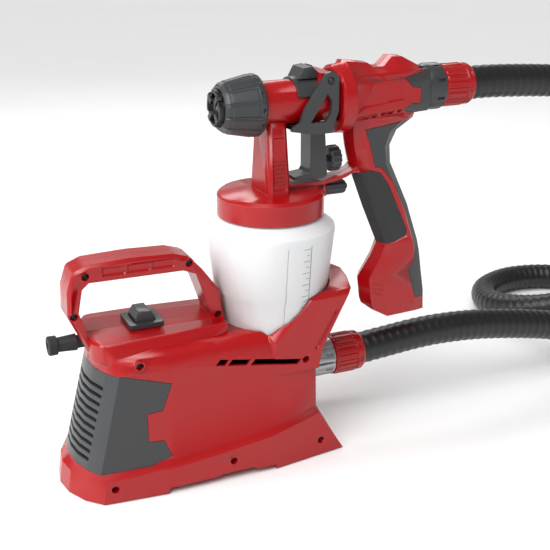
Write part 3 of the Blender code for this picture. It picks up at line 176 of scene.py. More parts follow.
def rubbed_share(tree, rounded, rub):
    """How much an edge is rubbed: nothing on a flat, and up to rub on an edge, in patches."""
    surface = tree.nodes.new("ShaderNodeNewGeometry")
    turn = tree.nodes.new("ShaderNodeVectorMath")
    turn.operation = "DOT_PRODUCT"
    link(tree, rounded, turn.inputs[0])
    link(tree, surface.outputs["Normal"], turn.inputs[1])
    edge = spread(tree, turn.outputs["Value"], rub, 0.0, EDGE_FULL, EDGE_STARTS)
    worn = tree.nodes.new("ShaderNodeMath")
    worn.operation = "MULTIPLY"
    link(tree, edge, worn.inputs[0])
    link(tree, spread(tree, noise(tree, SCUFFS_PER_METRE), 0.2, 1.0), worn.inputs[1])
    return worn.outputs["Value"]


print(f"scuffs about {1000.0 / SCUFFS_PER_METRE:.1f} mm across")

# %% [markdown]
# One recipe puts these together. Two close tones drift over the piece, the edges are paler, the gloss drifts
# too, and a fine bump is the grain that spark erosion leaves in a mould. Each finish only sets its numbers.

# %% The recipe
TONE = 0.03
PATCHES_PER_METRE = 22.0
POLISH_PER_METRE = 35.0
GRAIN_STRENGTH = 0.6


def moulded(name, colour, roughness, grain=1400.0, depth=0.02, rounding=0.8, rub=0.12, metallic=0.0,
            streak=None):
    """A finish. Grain is in features per metre, and depth and rounding are in millimetres."""
    made, tree, shader = nodes_for(name)
    shader.inputs["Metallic"].default_value = metallic
    darker = [c * (1.0 - TONE) for c in colour]
    lighter = [min(c * (1.0 + TONE), 1.0) for c in colour]
    body = two_tones(tree, noise(tree, PATCHES_PER_METRE), darker, lighter)

    rounded = rounded_edges(tree, rounding)
    share = rubbed_share(tree, rounded, rub)
    rubbed = tree.nodes.new("ShaderNodeMix")
    rubbed.data_type = "RGBA"
    rubbed.inputs["B"].default_value = (*[min(c * 1.4 + 0.01, 1.0) for c in colour], 1.0)
    link(tree, share, rubbed.inputs["Factor"])
    link(tree, body, rubbed.inputs["A"])
    link(tree, rubbed.outputs["Result"], shader.inputs["Base Color"])

    gloss = noise(tree, POLISH_PER_METRE, 4.0, streak)
    link(tree, spread(tree, gloss, roughness - 0.02, roughness + 0.03), shader.inputs["Roughness"])
    bump = tree.nodes.new("ShaderNodeBump")
    bump.inputs["Strength"].default_value = GRAIN_STRENGTH
    bump.inputs["Distance"].default_value = depth * MM
    link(tree, noise(tree, grain, 2.0, streak), bump.inputs["Height"])
    link(tree, rounded, bump.inputs["Normal"])
    link(tree, bump.outputs["Normal"], shader.inputs["Normal"])
    return made


print(f"colour drifts over about {1000.0 / PATCHES_PER_METRE:.0f} mm")

# %% [markdown]
# The red is a glossy plastic with only a trace of grain. The dark grey is the same kind of plastic with a
# coarser, duller skin. The grip is soft rubber, coarser and duller again, and the small feet are rubber too.
# Turned steel keeps fine rings round its axis, so its noise is squeezed along X, and the alloy of the turbine
# has marks that run along X, so its noise is squeezed the other way.

# %% Each finish
FINISH = {
    "red_plastic": moulded("red_plastic", (0.35, 0.0020, 0.0038), 0.24, depth=0.006),
    "dark_grey_plastic": moulded("dark_grey_plastic", (0.034, 0.036, 0.038), 0.31, grain=1700.0),
    "soft_grip": moulded("soft_grip", (0.017, 0.018, 0.019), 0.55, grain=1100.0, depth=0.05, rub=0.08),
    "black_plastic": moulded("black_plastic", (0.008, 0.008, 0.009), 0.33, depth=0.015),
    "hose_plastic": moulded("hose_plastic", (0.008, 0.008, 0.009), 0.36, grain=700.0, rub=0.05),
    "silver_plastic": moulded("silver_plastic", (0.40, 0.41, 0.42), 0.32, depth=0.01, metallic=0.75),
    "steel": moulded("steel", (0.58, 0.58, 0.59), 0.26, grain=900.0, depth=0.01, rounding=0.3, rub=0.1,
                     metallic=1.0, streak=(6.0, 0.6, 0.6)),
    "black_screw": moulded("black_screw", (0.05, 0.05, 0.055), 0.40, grain=1500.0, depth=0.01,
                           rounding=0.2, rub=0.5, metallic=0.85),
    "turbine_alloy": moulded("turbine_alloy", (0.62, 0.63, 0.64), 0.34, grain=800.0, rounding=0.3,
                             rub=0.1, metallic=1.0, streak=(0.6, 4.0, 4.0)),
    "filter_foam": moulded("filter_foam", (0.035, 0.035, 0.040), 0.92, grain=900.0, depth=0.9,
                           rounding=1.5, rub=0.0),
    "black_rubber": moulded("black_rubber", (0.012, 0.012, 0.013), 0.62, grain=1200.0, depth=0.03, rub=0.1),
    "seal": moulded("seal", (0.58, 0.58, 0.55), 0.50, rub=0.1),
}
print("finishes:", ", ".join(FINISH))

# %% [markdown]
# The cup is milky plastic. Light goes into it and comes out a little further on, which makes it look white
# and soft rather than painted. Glass would show too much through it, so its finish adds subsurface
# scattering to a pale moulded plastic.

# %% Cup finish
cup_finish = moulded("cup_plastic", (0.70, 0.71, 0.72), 0.34, grain=500.0, depth=0.01, rounding=0.6, rub=0.0)
milk = cup_finish.node_tree.nodes["Principled BSDF"]
milk.inputs["Subsurface Weight"].default_value = 0.35
milk.inputs["Subsurface Radius"].default_value = (0.9, 0.95, 1.0)
milk.inputs["Subsurface Scale"].default_value = 0.006
FINISH["cup_plastic"] = cup_finish
print(f"light scatters over about {milk.inputs['Subsurface Scale'].default_value / MM:.0f} mm in the cup")

# %% [markdown]
# ## Keeping a solid's shape, with smooth shading
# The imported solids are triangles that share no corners, so they shade as flat facets. A copy with joined
# corners and merged flats shades smoothly between its real edges, and the finish rounds those. Modelling
# the shells again would only risk their size, so this is all that most of them get.

# %% Copies of the solids
SAME_CORNER = 0.005 * MM
FLAT_WITHIN = math.radians(0.6)
SHELL_SMOOTH = 32.0


def take_over(piece, *names):
    """The piece rides on the first solid's body, stands for these solids and takes their finish."""
    first = names[0]
    piece.data.materials.clear()
    piece.data.materials.append(FINISH[SLOT_OF[first]])
    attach(piece, BODY_OF[first])
    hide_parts(*names)


def new_piece(name, mesh):
    piece = bpy.data.objects.new(name, mesh)
    bpy.context.scene.collection.objects.link(piece)
    return piece


def smooth_between_edges(work, degrees):
    """Smooth faces, with a sharp edge wherever the surface turns by more than this."""
    for face in work.faces:
        face.smooth = True
    for edge in work.edges:
        edge.smooth = len(edge.link_faces) == 2 and edge.calc_face_angle(0.0) < math.radians(degrees)


def mesh_from(name, corners, faces, smooth):
    """A mesh with outward faces, smooth between its sharp edges."""
    mesh = bpy.data.meshes.new(name)
    mesh.from_pydata([tuple(c) for c in corners], [], faces)
    work = bmesh.new()
    work.from_mesh(mesh)
    bmesh.ops.recalc_face_normals(work, faces=work.faces)
    smooth_between_edges(work, smooth)
    work.to_mesh(mesh)
    work.free()
    return mesh


def refined(node):
    """A copy of a solid with joined corners and merged flats takes the solid's place."""
    mesh = NODES[node].data.copy()
    mesh.name = f"{node}_skin"
    work = bmesh.new()
    work.from_mesh(mesh)
    bmesh.ops.remove_doubles(work, verts=work.verts, dist=SAME_CORNER)
    bmesh.ops.dissolve_limit(work, angle_limit=FLAT_WITHIN, verts=work.verts, edges=work.edges)
    smooth_between_edges(work, SHELL_SMOOTH)
    mesh.clear_geometry()
    work.to_mesh(mesh)
    work.free()
    take_over(new_piece(f"{node}_skin", mesh), node)


SHELLS = ["casing_near", "casing_far", "end_cover", "gun_head", "gun_body_near", "gun_body_far", "trigger",
          "back_strap", "grip_pad", "rear_trim", "barrel_saddle", "switch_bezel", "switch_rocker",
          "strain_relief", "outlet_ring", "tail_ring", "paint_nozzle", "trigger_pin", "flow_knob",
          "clamp_knob", "clamp_screw", "cup"]
for node in SHELLS:
    refined(node)
print(f"{len(SHELLS)} shells refined")

# %% [markdown]
# ## Details laid on a shell
# Ribs, panels and printed marks follow the skin that they sit on. A bump would not show at an outline, so
# here an outline is drawn flat as X and Z, carried straight onto the near side of the skin, and given a
# thickness there. The flat outline is cut into small cells first, so that it can bend with the skin.

# %% Slabs that follow a skin
CARRY = Vector((0.0, 1.0, 0.0))
CARRY_FROM = -0.5
CELL = 3.0 * MM
SAME_PLANE = 1e-7
SLAB_SMOOTH = 30.0


def skin_of(*names):
    corners = []
    faces = []
    for name in names:
        mesh = NODES[name].data
        first = len(corners)
        corners += [v.co.copy() for v in mesh.vertices]
        faces += [[first + i for i in face.vertices] for face in mesh.polygons]
    return BVHTree.FromPolygons(corners, faces)


def cut_up(outline):
    """A flat mesh of an outline, cut into cells so that it can bend."""
    work = bmesh.new()
    work.faces.new([work.verts.new((u, v, 0)) for u, v in outline])
    for axis in (0, 1):
        low = min(point[axis] for point in outline)
        high = max(point[axis] for point in outline)
        for k in range(1, math.ceil((high - low) / CELL)):
            place = [0.0, 0.0, 0.0]
            place[axis] = low + k * CELL
            normal = [0.0, 0.0, 0.0]
            normal[axis] = 1.0
            bmesh.ops.bisect_plane(work, geom=work.verts[:] + work.edges[:] + work.faces[:],
                                   dist=SAME_PLANE, plane_co=place, plane_no=normal)
    bmesh.ops.triangulate(work, faces=work.faces)
    return work


def laid(name, skin, outline, proud, sunk):
    """A closed slab on a skin, from sunk below it to proud above it. All are in millimetres."""
    work = cut_up([(u * MM, v * MM) for u, v in outline])
    work.verts.index_update()
    upper = []
    lower = []
    for vert in work.verts:
        hit = skin.ray_cast(Vector((vert.co.x, CARRY_FROM, vert.co.y)), CARRY)[0]
        upper.append(hit - CARRY * proud * MM)
        lower.append(hit + CARRY * sunk * MM)
    count = len(upper)
    faces = []
    for face in work.faces:
        ring = [v.index for v in face.verts]
        faces.append(ring)
        faces.append([i + count for i in reversed(ring)])
    for edge in work.edges:
        if len(edge.link_faces) == 1:
            a, b = (v.index for v in edge.verts)
            faces.append([a, b, b + count, a + count])
    work.free()
    return mesh_from(name, upper + lower, faces, SLAB_SMOOTH)


def stuck_on(name, mesh, body, slot, finish=None):
    """A slab as a piece of its own."""
    piece = new_piece(name, mesh)
    piece.data.materials.append(FINISH[finish or slot])
    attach(piece, body)


print(f"slabs bend every {CELL / MM:.0f} mm")

# %% [markdown]
# A slab that stands well clear of the skin can also be cut out of it, which leaves a recess as deep as the
# slab is sunk. All the cuts in one shell are made together and then kept in its mesh.

# %% Recesses
CLEAR = 3.0


def recess(name, skin, outline, depth):
    return laid(name, skin, outline, CLEAR, depth)


def rectangle(left, low, right, high):
    return [(left, low), (right, low), (right, high), (left, high)]


def carve(piece, *cutters):
    """The slabs are cut out of the piece, for good."""
    for mesh in cutters:
        cutter = new_piece(mesh.name, mesh)
        step = piece.modifiers.new(mesh.name, "BOOLEAN")
        step.operation = "DIFFERENCE"
        step.solver = "MANIFOLD"
        step.object = cutter
    graph = bpy.context.evaluated_depsgraph_get()
    cut = bpy.data.meshes.new_from_object(piece.evaluated_get(graph))
    grown = len(cut.polygons) - len(piece.data.polygons)
    piece.modifiers.clear()
    for mesh in cutters:
        bpy.data.objects.remove(bpy.data.objects[mesh.name])
    piece.data = cut
    cut.set_sharp_from_angle(angle=math.radians(SHELL_SMOOTH))
    print(f"{piece.name}: {len(cutters)} recesses, {grown} more faces")


print(f"cutters stand {CLEAR:.0f} mm clear of the skin")

# %% [markdown]
# ## Recesses in the casing
# The carrying handle has a shallow panel in three parts on its near side, and the cheek of the cradle has a
# long narrow flute. Both are cut, because a sunk edge catches the light in a way that a painted one doesn't.

# %% Casing recesses
casing_skin = skin_of("casing_near", "casing_far")
casing_cutters = []
for k, (a, b) in enumerate(((-153.0, -133.0), (-131.5, -112.0), (-110.5, -91.0))):
    panel = [(a, 191.0), (b, 190.6), (b, 197.6), (a, 198.2)]
    casing_cutters.append(recess(f"handle_panel_{k + 1}", casing_skin, panel, 0.8))
flute = [(24.0, 108.0), (27.5, 108.0), (47.0, 141.0), (45.0, 143.5)]
casing_cutters.append(recess("cheek_flute", casing_skin, flute, 1.0))
carve(bpy.data.objects["casing_near_skin"], *casing_cutters)

# %% [markdown]
# ## The neck of the gun
# The neck between the cup's lid and the barrel has a sunk panel with six short ribs low down. The panel is
# cut out of the head, and the ribs are slabs that stand in it.

# %% Neck panel and ribs
head_skin = skin_of("gun_head")
neck_panel = [(-3.0, 247.0), (9.6, 247.0), (8.8, 292.0), (-1.8, 292.0)]
carve(bpy.data.objects["gun_head_skin"], recess("neck_panel", head_skin, neck_panel, 0.7))
NECK_RIBS = 6
for k in range(NECK_RIBS):
    low = 252.5 + 3.6 * k
    high = low + 1.7
    outline = [(-1.6, low), (8.4, low), (8.2, high), (-1.4, high)]
    rib_slab = laid(f"neck_rib_{k + 1}", head_skin, outline, 0.35, 0.9)
    stuck_on(f"neck_rib_{k + 1}", rib_slab, "head", "red_plastic")
print(f"{NECK_RIBS} ribs on the neck")

# %% [markdown]
# ## The side of the gun
# The gun's side has a wedge-shaped panel with a row of five small slots under it, each a little higher than
# the one before. Three short ribs at the toe of the handle stand on the shell as slabs.

# %% Side panel, slots and toe ribs
body_skin = skin_of("gun_body_near", "gun_body_far")
rail = []
for k in range(5):
    left = 84.0 + 8.0 * k
    right = 88.0 + 8.0 * k
    slot = [(left, 301.0 + k), (right, 301.5 + k), (right, 304.0 + k), (left, 303.5 + k)]
    rail.append(recess(f"rail_slot_{k + 1}", body_skin, slot, 1.2))
wedge = recess("side_panel", body_skin, [(78.0, 311.5), (124.0, 316.5), (124.0, 333.5), (93.0, 333.5)], 0.6)
carve(bpy.data.objects["gun_body_near_skin"], wedge, *rail)
for k in range(3):
    low = 133.0 + 5.0 * k
    outline = [(103.0, low), (111.0, low - 1.5), (111.0, low + 0.3), (103.0, low + 1.8)]
    toe_rib = laid(f"toe_rib_{k + 1}", body_skin, outline, 0.4, 0.6)
    stuck_on(f"toe_rib_{k + 1}", toe_rib, "handle", "red_plastic")

# %% [markdown]
# ## The outlet ring
# The ring where the hose leaves the floor unit has three short slots on its near side, one above another.

# %% Slots in the outlet ring
ring_skin = skin_of("outlet_ring")
ring_slots = [recess(f"ring_slot_{k + 1}", ring_skin, rectangle(53.5, z, 60.5, z + 2.2), 1.0)
              for k, z in enumerate((65.0, 72.9, 80.8))]
carve(bpy.data.objects["outlet_ring_skin"], *ring_slots)

# %% [markdown]
# ## Turned pieces
# The nut, the cap and the collars are rings about an axis, with something repeated round them. Cutting each
# flute would take many boolean steps. One profile whose radius also depends on the angle gives them all.

# %% Rings about an axis
PROFILE_STEP = 0.8
TURNED_SMOOTH = 28.0


def with_more_points(profile):
    """The profile's points, with more between them where they are far apart."""
    line = []
    for (x1, r1), (x2, r2) in zip(profile, profile[1:]):
        count = max(1, round(math.hypot(x2 - x1, r2 - r1) / PROFILE_STEP))
        line += [(x1 + (x2 - x1) * k / count, r1 + (r2 - r1) * k / count) for k in range(count)]
    return line + [profile[-1]]


def turned_piece(name, centre, outer, inner, pattern, sides):
    """A ring about an axis along X. pattern gives how far the outside stands out at a place and a turn."""
    stations = [(x, r, True) for x, r in with_more_points(outer)] + [(x, r, False) for x, r in inner]
    corners = []
    for x, radius, patterned in stations:
        for i in range(sides):
            angle = 2.0 * math.pi * i / sides
            reach = (radius + (pattern(x, angle) if patterned else 0.0)) * MM
            corners.append((x * MM, centre[0] + reach * math.cos(angle), centre[1] + reach * math.sin(angle)))
    faces = []
    count = len(stations)
    for k in range(count):
        m = (k + 1) % count
        for i in range(sides):
            j = (i + 1) % sides
            faces.append((k * sides + i, k * sides + j, m * sides + j, m * sides + i))
    return new_piece(name, mesh_from(name, corners, faces, TURNED_SMOOTH))


print(f"profiles are cut every {PROFILE_STEP} mm")

# %% [markdown]
# ## The union nut
# A hand screws this cone on without a tool, so it has twelve flats with a groove between each pair, a raised
# pad on every flat and a small notch at its wide end. The places along the nut are shares of its length, and
# the places across a flat are shares of its width.

# %% Union nut
NUT_LOW, NUT_HIGH = (corner.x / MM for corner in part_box("union_nut"))
CAP_LOW, CAP_REAR = (corner.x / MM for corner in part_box("air_cap"))
CAP_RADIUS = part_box("air_cap")[1].y / MM
FLATS = 12
FLAT_WIDTH = 2.0 * math.pi / FLATS
NUT_RADIUS = 26.0
NUT_BORE = 14.4
GROOVE_DEPTH = 0.9
PAD_HEIGHT = 0.7
NOTCH_DEPTH = 1.6


def nut_pattern(x, angle):
    off = (angle + FLAT_WIDTH / 2) % FLAT_WIDTH - FLAT_WIDTH / 2
    height = NUT_RADIUS * (math.cos(FLAT_WIDTH / 2) / math.cos(off) - 1.0) * 0.9
    if abs(off) > 0.43 * FLAT_WIDTH:
        height -= GROOVE_DEPTH
    along = (x - NUT_LOW) / (NUT_HIGH - NUT_LOW)
    if 0.16 < along < 0.78 and abs(off) < 0.32 * FLAT_WIDTH:
        height += PAD_HEIGHT
    if 0.86 < along < 0.93 and abs(off) < 0.12 * FLAT_WIDTH:
        height -= NOTCH_DEPTH
    return height


nut_outside = [
    (NUT_LOW, CAP_RADIUS + 1.6), (NUT_LOW + 1.0, CAP_RADIUS + 2.6), (NUT_LOW + 3.0, CAP_RADIUS + 4.0),
    (NUT_HIGH - 9.0, NUT_RADIUS), (NUT_HIGH - 5.0, 26.9), (NUT_HIGH - 2.0, 26.7), (NUT_HIGH, 25.2),
]
nut_inside = [
    (NUT_HIGH, NUT_BORE), (CAP_REAR + 0.3, NUT_BORE), (CAP_REAR + 0.3, CAP_RADIUS + 0.4),
    (NUT_LOW + 2.0, CAP_RADIUS + 0.4), (NUT_LOW + 2.0, CAP_RADIUS - 1.3), (NUT_LOW, CAP_RADIUS - 1.3),
]
nut = turned_piece("fluted_union_nut", BARREL, nut_outside, nut_inside, nut_pattern, FLATS * 16)
take_over(nut, "union_nut")
print(f"nut {NUT_HIGH - NUT_LOW:.1f} mm long with {FLATS} flats")

# %% [markdown]
# ## The air cap
# The black cap inside the nut's lip shapes the spray. Its rim has four gaps, so that fingers can turn it, and
# the pattern of the same turned profile makes them. The tip of the nozzle stands in the hole in the middle.

# %% Air cap
LIP = CAP_RADIUS - 1.8
GAPS = 4
GAP_DEPTH = 2.6


def cap_pattern(x, angle):
    if x > NUT_LOW - 0.2:
        return 0.0
    return 0.0 if (angle * GAPS / (2.0 * math.pi) + 0.18) % 1.0 < 0.64 else -GAP_DEPTH


cap_outside = [
    (CAP_LOW + 0.8, LIP - 2.8), (CAP_LOW + 0.8, LIP - 0.6), (CAP_LOW + 1.4, LIP),
    (NUT_LOW + 2.2, LIP), (NUT_LOW + 2.2, CAP_RADIUS), (CAP_REAR, CAP_RADIUS),
]
cap_inside = [
    (CAP_REAR, 11.0), (NUT_LOW + 3.0, 9.0), (NUT_LOW + 1.0, 2.5), (NUT_LOW - 1.4, 2.5),
    (NUT_LOW - 1.4, LIP - 3.4),
]
cap = turned_piece("castellated_air_cap", BARREL, cap_outside, cap_inside, cap_pattern, 96)
take_over(cap, "air_cap")
print(f"cap {2.0 * CAP_RADIUS:.1f} mm across with {GAPS} gaps")

# %% [markdown]
# A cross of four ridges stands in front of the cap. Each is a small block that tapers to the front, so its
# eight corners are placed directly.

# %% Ridges on the cap
TAPER = 0.8
RIDGE_INNER = 5.5
RIDGE_OUTER = LIP - 0.4
RIDGE_HALF = 2.7


def ridge(name, angle, inner, outer, half, front, rear):
    """A tapering ridge that stands in front of the cap, from near its middle to its rim."""
    out = Vector((0.0, math.cos(angle), math.sin(angle)))
    side = Vector((0.0, -math.sin(angle), math.cos(angle)))
    axis = Vector((0.0, BARREL[0] / MM, BARREL[1] / MM))
    corners = []
    for x, shrink in ((front, TAPER), (rear, 0.0)):
        for reach, width in ((inner + shrink, half - shrink), (outer - shrink, half - shrink * 0.5)):
            for turn in (-1, 1):
                corners.append((Vector((x, 0, 0)) + axis + out * reach + side * width * turn) * MM)
    faces = [(0, 1, 3, 2), (4, 6, 7, 5), (0, 4, 5, 1), (2, 3, 7, 6), (0, 2, 6, 4), (1, 5, 7, 3)]
    return new_piece(name, mesh_from(name, corners, faces, 20.0))


for k in range(4):
    horn = ridge(f"cap_ridge_{k + 1}", math.radians(45.0 + 90.0 * k), RIDGE_INNER, RIDGE_OUTER, RIDGE_HALF,
                 CAP_LOW, NUT_LOW - 0.9)
    horn.data.materials.append(FINISH["black_plastic"])
    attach(horn, "front_cap")
print(f"ridges reach {RIDGE_OUTER:.1f} mm from the axis")

# %% [markdown]
# ## Hose collars
# A red screw collar holds each end of the hose. It has grip ribs along it, and a plain band with notches
# behind them. Both are the same turned profile, placed by the box of its solid.

# %% Collars
GRIP_RIBS = 22
NOTCHES = 8
COLLAR_BORE = 16.4


def collar_pattern(along, angle):
    """along is a share of the collar's length."""
    if 0.10 < along < 0.70:
        return 0.55 if (angle * GRIP_RIBS / (2.0 * math.pi)) % 1.0 < 0.62 else -0.45
    if 0.80 < along < 0.90 and (angle * NOTCHES / (2.0 * math.pi)) % 1.0 < 0.3:
        return -1.1
    return 0.0


for node, centre in (("base_hose_collar", OUTLET), ("gun_hose_collar", GUN_HOSE)):
    low, high = (corner.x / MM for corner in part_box(node))
    collar = turned_piece(f"{node}_ribbed", centre,
                          [(low, 17.6), (low + 1.0, 18.7), (low + 5.0, 18.9), (high - 9.0, 18.9),
                           (high - 8.2, 18.1), (high - 7.4, 18.9), (high - 2.0, 18.7), (high, 17.4)],
                          [(high, COLLAR_BORE), (low, COLLAR_BORE)],
                          lambda x, angle: collar_pattern((x - low) / (high - low), angle), GRIP_RIBS * 6)
    take_over(collar, node)
    print(f"{node} {high - low:.1f} mm long")

# %% [markdown]
# ## The scale on the cup
# Two upright lines on the milky cup bound a sight strip, and short and longer marks by turns measure the
# paint. A printed line lies on the plastic, so each is a very thin slab with a darker finish of its own.

# %% Sight lines and scale marks
FINISH["scale_print"] = moulded("scale_print", (0.25, 0.26, 0.27), 0.5, rub=0.0)
PRINT_PROUD = 0.12
PRINT_SUNK = 0.3
STRIP_EDGE = 16.8
MARKS = 14
cup_skin = skin_of("cup")
for k, (left, wide) in enumerate(((-4.5, 0.25), (17.5, 0.7))):
    line = laid(f"sight_line_{k + 1}", cup_skin, rectangle(left, 122.0, left + wide, 206.0),
                PRINT_PROUD, PRINT_SUNK)
    stuck_on(f"sight_line_{k + 1}", line, "paint_cup", "cup_plastic", "scale_print")
for k in range(MARKS):
    low = 132.0 + 5.5 * k
    reach = 6.5 if k % 2 else 3.5
    mark = laid(f"scale_mark_{k + 1}", cup_skin, rectangle(STRIP_EDGE - reach, low, STRIP_EDGE, low + 0.45),
                PRINT_PROUD, PRINT_SUNK)
    stuck_on(f"scale_mark_{k + 1}", mark, "paint_cup", "cup_plastic", "scale_print")
print(f"{MARKS} marks on the cup")

# %% [markdown]
# ## The air hose
# The real hose is a thin wall wound with a stiff helical rib, so it bends widely and keeps its round section.
# It leaves the floor unit level, lies in one loop on the floor and comes back up to the gun. The route is a
# list of points down the middle of the hose's solid, and a smooth curve through them is cut into even steps.

# %% Hose line
HOSE_RADIUS = 16.0 * MM
LYING = HOSE_RADIUS + 0.5 * MM
INTO_COLLAR = 0.3 * MM
RING_STEP = 1.45 * MM
hose_from = Vector((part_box("base_hose_collar")[1].x + INTO_COLLAR, *OUTLET))
hose_to = Vector((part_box("gun_hose_collar")[1].x + INTO_COLLAR, *GUN_HOSE))
HOSE_ROUTE = [
    hose_from, (0.120, 0.0, 0.076), (0.1787, 0.0, 0.079), (0.2437, 0.0, 0.074), (0.3267, 0.0, 0.058),
    (0.3887, 0.004, 0.036), (0.4487, 0.016, 0.021), (0.5007, 0.046, LYING), (0.5337, 0.096, LYING),
    (0.5337, 0.156, LYING), (0.4997, 0.205, LYING), (0.4437, 0.222, LYING), (0.3897, 0.202, LYING),
    (0.3637, 0.150, 0.021), (0.3777, 0.092, 0.035), (0.4287, 0.050, 0.052), (0.4937, 0.030, 0.061),
    (0.5587, 0.028, 0.081), (0.6037, 0.030, 0.123), (0.6217, 0.031, 0.181), (0.6057, 0.028, 0.239),
    (0.5587, 0.022, 0.282), (0.4837, 0.013, 0.304), (0.4037, 0.005, 0.312), (0.3337, 0.001, 0.315),
    (0.2657, 0.0, 0.320), (0.2257, 0.0, 0.322), hose_to,
]


def smooth_line(points, steps):
    """A smooth curve through the points, with this many steps in each span."""
    line = []
    for k in range(len(points) - 1):
        before = Vector(points[max(k - 1, 0)])
        a = Vector(points[k])
        b = Vector(points[k + 1])
        after = Vector(points[min(k + 2, len(points) - 1)])
        for s in range(steps):
            t = s / steps
            line.append(0.5 * (2 * a + (b - before) * t + (2 * before - 5 * a + 4 * b - after) * t * t
                               + (3 * a - before - 3 * b + after) * t ** 3))
    line.append(Vector(points[-1]))
    return line


def evenly(line, spacing):
    """The same line with points this far apart, and its length."""
    total = sum((b - a).length for a, b in zip(line, line[1:]))
    count = round(total / spacing)
    even = [line[0].copy()]
    walked = 0.0
    for a, b in zip(line, line[1:]):
        step = (b - a).length
        while len(even) < count and walked + step >= total / count * len(even):
            even.append(a.lerp(b, (total / count * len(even) - walked) / step))
        walked += step
    even.append(line[-1].copy())
    return even, total


hose_line, hose_length = evenly(smooth_line(HOSE_ROUTE, 12), RING_STEP)
print(f"hose {hose_length:.3f} m long, {len(hose_line)} rings")

# %% [markdown]
# A bump could not show the ribs at the hose's outline, so a tube is swept along the line and its radius
# follows the helix. The section doesn't twist: each ring's frame is the one before it, tipped by the bend.
# The ribs stop a little inside the solid's radius, which keeps the swept tube close to the solid's box.

# %% Hose with its helical rib
RIB_PITCH = 8.6 * MM
RIB_HEIGHT = 0.6 * MM
RIB_SHARE = 0.6
RIB_INSET = 0.6 * MM
HOSE_SIDES = 28
HOSE_SMOOTH = 60.0


def rib(phase):
    """Height of the rib, from 0 to 1: a low rounded bead on a plain wall."""
    away = abs((phase % 1.0) - 0.5) * 2.0
    return (0.5 + 0.5 * math.cos(math.pi * away / RIB_SHARE)) if away < RIB_SHARE else 0.0


def hose_radius(along, turn):
    return HOSE_RADIUS - RIB_INSET - RIB_HEIGHT * (1.0 - rib(along / RIB_PITCH - turn))


def swept(line, radius_at, sides):
    """Rings along a line, capped at both ends. radius_at takes the distance along and the turn round."""
    tangent = (line[1] - line[0]).normalized()
    side = tangent.orthogonal().normalized()
    corners = []
    along = 0.0
    for k, place in enumerate(line):
        ahead = line[min(k + 1, len(line) - 1)] - line[max(k - 1, 0)]
        ahead.normalize()
        side = (tangent.rotation_difference(ahead) @ side).normalized()
        tangent = ahead
        up = tangent.cross(side)
        for i in range(sides):
            turn = i / sides
            angle = 2.0 * math.pi * turn
            reach = radius_at(along, turn)
            corners.append(place + (side * math.cos(angle) + up * math.sin(angle)) * reach)
        if k + 1 < len(line):
            along += (line[k + 1] - place).length
    faces = []
    for k in range(len(line) - 1):
        for i in range(sides):
            j = (i + 1) % sides
            faces.append((k * sides + i, k * sides + j, (k + 1) * sides + j, (k + 1) * sides + i))
    faces.append(tuple(reversed(range(sides))))
    faces.append(tuple(range(len(corners) - sides, len(corners))))
    return corners, faces


hose_corners, hose_faces = swept(hose_line, hose_radius, HOSE_SIDES)
hose = new_piece("ribbed_air_hose", mesh_from("ribbed_air_hose", hose_corners, hose_faces, HOSE_SMOOTH))
take_over(hose, "air_hose")
print(f"hose has {len(hose.data.polygons)} faces")

# %% [markdown]
# ## The other solids
# What is hidden inside, and small plain pieces such as screws and feet, keep their solids, which already have
# the right shape, and only take the finish.

# %% Finishes on the remaining solids
for name, node in NODES.items():
    if not node.hide_render:
        for place in node.material_slots:
            place.material = FINISH[SLOT_OF[name]]
print("plain solids:", ", ".join(sorted(n for n, o in NODES.items() if not o.hide_render)))

# %% [markdown]
# ## The floor
# A plain pale floor, wide enough that its edge is never seen, shows where the object stands.

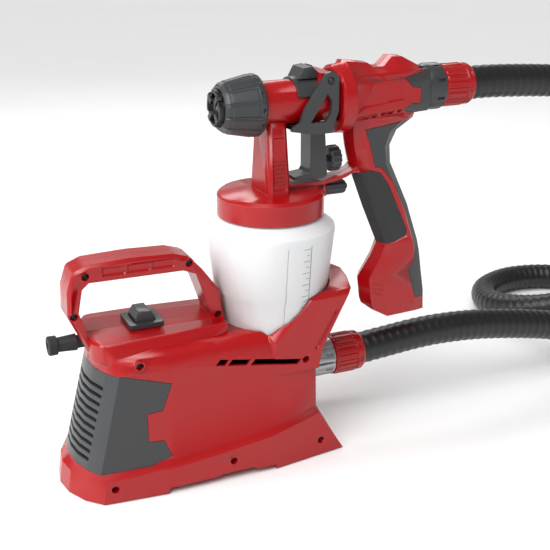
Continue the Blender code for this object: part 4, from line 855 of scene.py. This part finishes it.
# %% Floor
REACH = 40
floor_mesh = bpy.data.meshes.new("floor")
floor_mesh.from_pydata([(-REACH, -REACH, 0), (REACH, -REACH, 0), (REACH, REACH, 0), (-REACH, REACH, 0)],
                       [], [(0, 1, 2, 3)])
floor = new_piece("floor", floor_mesh)
floor_finish, floor_tree, floor_shader = nodes_for("studio_floor")
floor_shader.inputs["Roughness"].default_value = 0.7
floor_tone = two_tones(floor_tree, noise(floor_tree, 3.0), (0.90, 0.90, 0.90), (0.93, 0.93, 0.93))
link(floor_tree, floor_tone, floor_shader.inputs["Base Color"])
floor_mesh.materials.append(floor_finish)
print(f"floor {2 * REACH} m across")

# %% [markdown]
# ## The light
# Gloss on dark and red plastic is mostly a picture of what stands round it. So the sky is pale near the
# horizon and darker above, which draws the upright sides pale and leaves the tops deep.

# %% Sky
world = bpy.data.worlds.new("studio")
world.use_nodes = True
sky = world.node_tree.nodes["Background"]
sky.inputs["Color"].default_value = (1.0, 1.0, 1.0, 1.0)
direction = world.node_tree.nodes.new("ShaderNodeTexCoord")
split = world.node_tree.nodes.new("ShaderNodeSeparateXYZ")
link(world.node_tree, direction.outputs["Generated"], split.inputs["Vector"])
link(world.node_tree, spread(world.node_tree, split.outputs["Z"], 0.92, 0.28, 0.02, 0.30),
     sky.inputs["Strength"])
bpy.context.scene.world = world
print("sky ready")

# %% [markdown]
# A very wide sun gives the general light and its soft shadows. Three soft boxes add shaped highlights: one
# above in front on the left, a tall narrow one on the left, and a wide one behind for the far edges.

# %% Lamps
def soft_box(name, place, aim, width, height, power):
    lamp = bpy.data.lights.new(name, "AREA")
    lamp.shape = "RECTANGLE"
    lamp.size = width
    lamp.size_y = height
    lamp.energy = power
    item = bpy.data.objects.new(name, lamp)
    item.location = place
    item.rotation_euler = (Vector(place) - Vector(aim)).to_track_quat("Z", "Y").to_euler()
    bpy.context.scene.collection.objects.link(item)


soft_box("key", (-0.75, -0.75, 1.35), (0.0, 0.0, 0.15), 0.9, 0.6, 7.0)
soft_box("strip", (-1.3, 0.2, 0.9), (0.0, 0.0, 0.2), 0.25, 1.4, 10.0)
soft_box("rim", (0.4, 1.3, 1.2), (0.0, 0.0, 0.2), 1.4, 0.4, 8.0)
sun = bpy.data.lights.new("sun", "SUN")
sun.energy = 2.2
sun.angle = math.radians(55.0)
overhead = bpy.data.objects.new("sun", sun)
overhead.rotation_euler = Vector((-0.55, -0.45, 1.0)).to_track_quat("Z", "Y").to_euler()
bpy.context.scene.collection.objects.link(overhead)
bpy.context.scene.view_settings.view_transform = "Standard"
